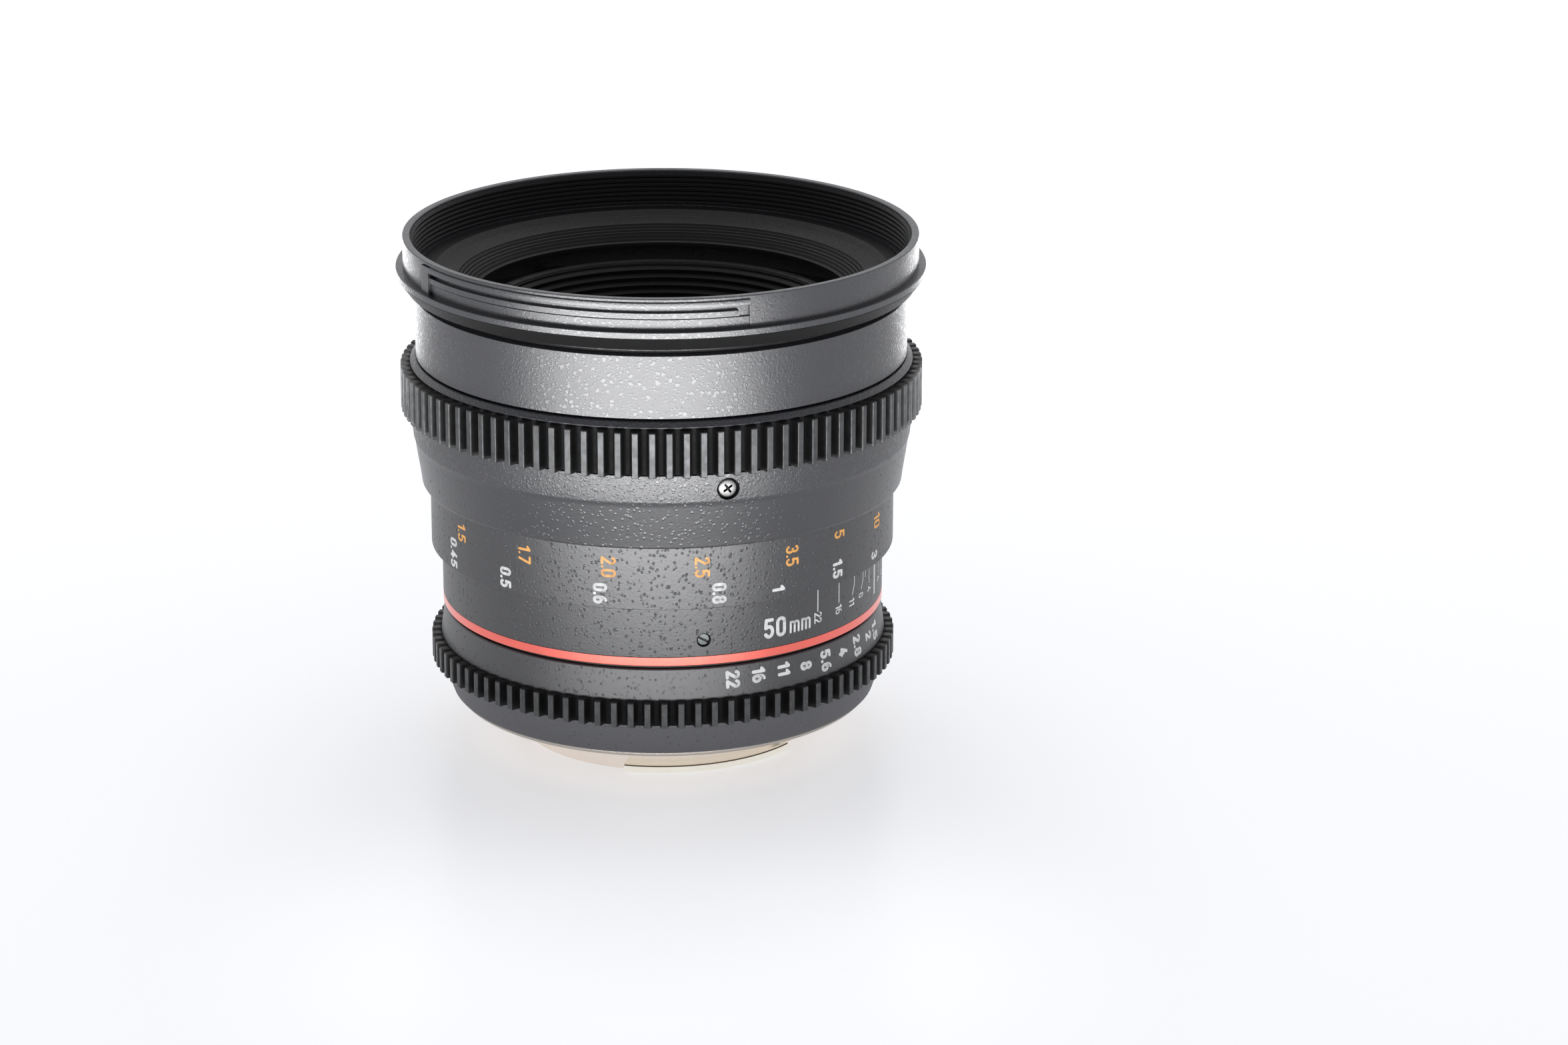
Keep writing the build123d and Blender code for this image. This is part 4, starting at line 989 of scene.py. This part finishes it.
# Depth marks on both sides of the index: stop, azimuths of the line's top and foot from the index, its
# kink and foot heights, and the number's azimuth
INDEX_AT = 71.9
INDEX_WIDTH = 0.7
INDEX_FOOT = 24.9
LINE_TOP = 31.0
LINE_WIDTH = 0.2
DEPTH_WORD_Z = 26.75
DEPTH = (
    ("22", 28.85, 28.85, 28.7, 26.9, 28.75), ("16", 20.65, 20.65, 28.7, 27.1, 20.75),
    ("11", 13.5, 14.45, 28.7, 27.2, 14.7), ("8", 8.5, 9.6, 28.7, 27.3, 9.7),
    ("5.6", 7.0, 7.0, 29.2, 28.8, None), ("4", 4.45, 4.45, 28.7, 27.35, 4.35),
)
marks = bmesh.new()
engraved_line(marks, ((INDEX_AT, LINE_TOP), (INDEX_AT, INDEX_FOOT)), INDEX_WIDTH, NAME_R)
depth_words = []
for stop, top, foot, z_kink, z_foot, word_at in DEPTH:
    for side in (-1, 1):
        spots = ((top, LINE_TOP), (top, z_kink), (foot, z_foot))
        engraved_line(marks, [(INDEX_AT + side * at, z) for at, z in spots], LINE_WIDTH, NAME_R)
        if word_at:
            depth_words.append((stop, INDEX_AT + side * word_at, DEPTH_WORD_Z))
piece("depth_lines", marks, WHITE, "barrel")
numbers("depth_numbers", depth_words, WHITE, "barrel", on_name_barrel, 1.35, 0.24, 0.04)


# Camera, as fitted to the photograph: 105 mm lens on a 36 mm frame. It aims at a point on the axis, then
# turns by yaw, tilt and roll. Places are in metres.
CAMERA_AT = Vector((0, -0.6815, 0.2590))
CAMERA_AIM = Vector((0, 0, 0.0406))
YAW, TILT, ROLL = math.radians(1.52096), math.radians(-0.59193), math.radians(-0.29453)


def swing(first, second, angle):
    """Two axes turned in their plane, the first towards the second."""
    cos, sin = math.cos(angle), math.sin(angle)
    return first * cos + second * sin, second * cos - first * sin


camera_data = bpy.data.cameras.new("camera")
camera_data.lens = 105.0
camera_data.sensor_width = 36.0
camera_data.clip_start = 0.05
camera = bpy.data.objects.new("camera", camera_data)
bpy.context.scene.collection.objects.link(camera)
ahead = (CAMERA_AIM - CAMERA_AT).normalized()
right = Vector((1, 0, 0))
upward = right.cross(ahead)
ahead, right = swing(ahead, right, YAW)
ahead, upward = swing(ahead, upward, TILT)
right, upward = swing(right, upward, ROLL)
world = camera.matrix_world.copy()
for column, axis in enumerate((right, upward, -ahead)):
    for row in range(3):
        world[row][column] = axis[row]
world.translation = CAMERA_AT
camera.matrix_world = world
bpy.context.scene.camera = camera


# Floor: its glow is seen by the camera, in reflections and through glass. It is stronger round a point in
# front of the lens, a painted pool of light, and missing under the throat of the mount. Lengths are in
# metres except the throat's.
FLOOR_HALF = 4
THROAT_EDGE = (20.3, 21.3)
PAINTED_POOL_POINT = (0, -0.09, 0)
PAINTED_POOL_REACH = (0.02, 0.075)
PAINTED_POOL_GLOW, GLOW = 0.5, 0.39
# The floor's colour is a little darker towards the front: painted shade
FLOOR_FRONT_PAINTED_SHADE = (0.76, 0.765, 0.785, 1)
FLOOR_BACK = (0.78, 0.783, 0.8, 1)


def floor_material():
    """White table with a soft sheen, a little glow of its own and a painted pool of light in front of the
    lens.
    """
    n = Nodes("floor_white")
    y = n.add("ShaderNodeSeparateXYZ", {0: n.coords}).outputs["Y"]
    path = n.add("ShaderNodeLightPath")
    seen = n.math("MAXIMUM", path.outputs["Is Camera Ray"], path.outputs["Is Glossy Ray"])
    seen = n.math("MAXIMUM", seen, path.outputs["Is Transmission Ray"])
    seen = n.math("MULTIPLY", seen, n.step(n.radius(), *THROAT_EDGE))
    away = n.add("ShaderNodeVectorMath", {0: n.coords, 1: PAINTED_POOL_POINT}, operation="DISTANCE")
    glow = n.smoothstep(away.outputs["Value"], *PAINTED_POOL_REACH, PAINTED_POOL_GLOW, GLOW)
    n.set(
        Base_Color=n.mix(n.smoothstep(y, -0.25, 0.25), FLOOR_FRONT_PAINTED_SHADE, FLOOR_BACK),
        Roughness=0.3,
        Specular_IOR_Level=0.25,
        Emission_Color=(0.975, 0.98, 1.0, 1),
        Emission_Strength=n.math("MULTIPLY", seen, glow),
    )
    return n.material


floor_bm = bmesh.new()
bmesh.ops.create_grid(floor_bm, x_segments=1, y_segments=1, size=FLOOR_HALF)
floor_mesh = bpy.data.meshes.new("floor")
floor_bm.to_mesh(floor_mesh)
floor_bm.free()
floor_mesh.materials.append(floor_material())
floor = bpy.data.objects.new("floor", floor_mesh)
bpy.context.scene.collection.objects.link(floor)


# Lamps: a bright low panel in front that only reflections see, a weaker one there that reflections don't
# see, one behind and one above
PANEL_AT = (-0.055, -0.2775, 0.002)
ABOVE_PANEL = (-0.055, -0.2775, 1)
PANEL_SIZE = (0.39, 0.285)


def area_light(name, position, target, size, power):
    """Rectangular lamp that faces a target, in metres and watts."""
    data = bpy.data.lights.new(name, "AREA")
    data.shape = "RECTANGLE"
    data.size, data.size_y = size
    data.energy = power
    obj = bpy.data.objects.new(name, data)
    obj.location = position
    obj.rotation_euler = (Vector(target) - Vector(position)).to_track_quat("-Z", "Y").to_euler()
    bpy.context.scene.collection.objects.link(obj)
    return obj


front_panel = area_light("front_panel", PANEL_AT, ABOVE_PANEL, PANEL_SIZE, 4.6)
front_panel.visible_diffuse = False
front_fill = area_light("front_fill", PANEL_AT, ABOVE_PANEL, PANEL_SIZE, 2.6)
front_fill.visible_glossy = False
area_light("back_panel", (0.0, 0.30, 0.002), (0.0, 0.30, 1), (0.4, 0.25), 1.2)
area_light("top", (0.0, 0.5, 0.9), (0, 0, 0), (0.9, 0.9), 3.5)

# Pale room, white at the horizon and darker overhead
HORIZON = (0.97, 0.975, 1.0, 1)
OVERHEAD = (0.38, 0.385, 0.4, 1)
DARKENS_FROM, DARKEST_AT = 0.12, 0.8  # upward part of a unit direction
sky = bpy.data.worlds.new("studio")
bpy.context.scene.world = sky
sky.use_nodes = True
tree = sky.node_tree
direction = tree.nodes.new("ShaderNodeTexCoord").outputs["Generated"]
split = tree.nodes.new("ShaderNodeSeparateXYZ")
rise = tree.nodes.new("ShaderNodeMapRange")
rise.interpolation_type = "SMOOTHSTEP"
rise.inputs["From Min"].default_value = DARKENS_FROM
rise.inputs["From Max"].default_value = DARKEST_AT
blend = tree.nodes.new("ShaderNodeMix")
blend.data_type = "RGBA"
blend.inputs[6].default_value = HORIZON
blend.inputs[7].default_value = OVERHEAD
tree.links.new(direction, split.inputs[0])
tree.links.new(split.outputs["Z"], rise.inputs["Value"])
tree.links.new(rise.outputs["Result"], blend.inputs["Factor"])
tree.links.new(blend.outputs[2], tree.nodes["Background"].inputs["Color"])

bpy.context.scene.view_settings.view_transform = "Standard"
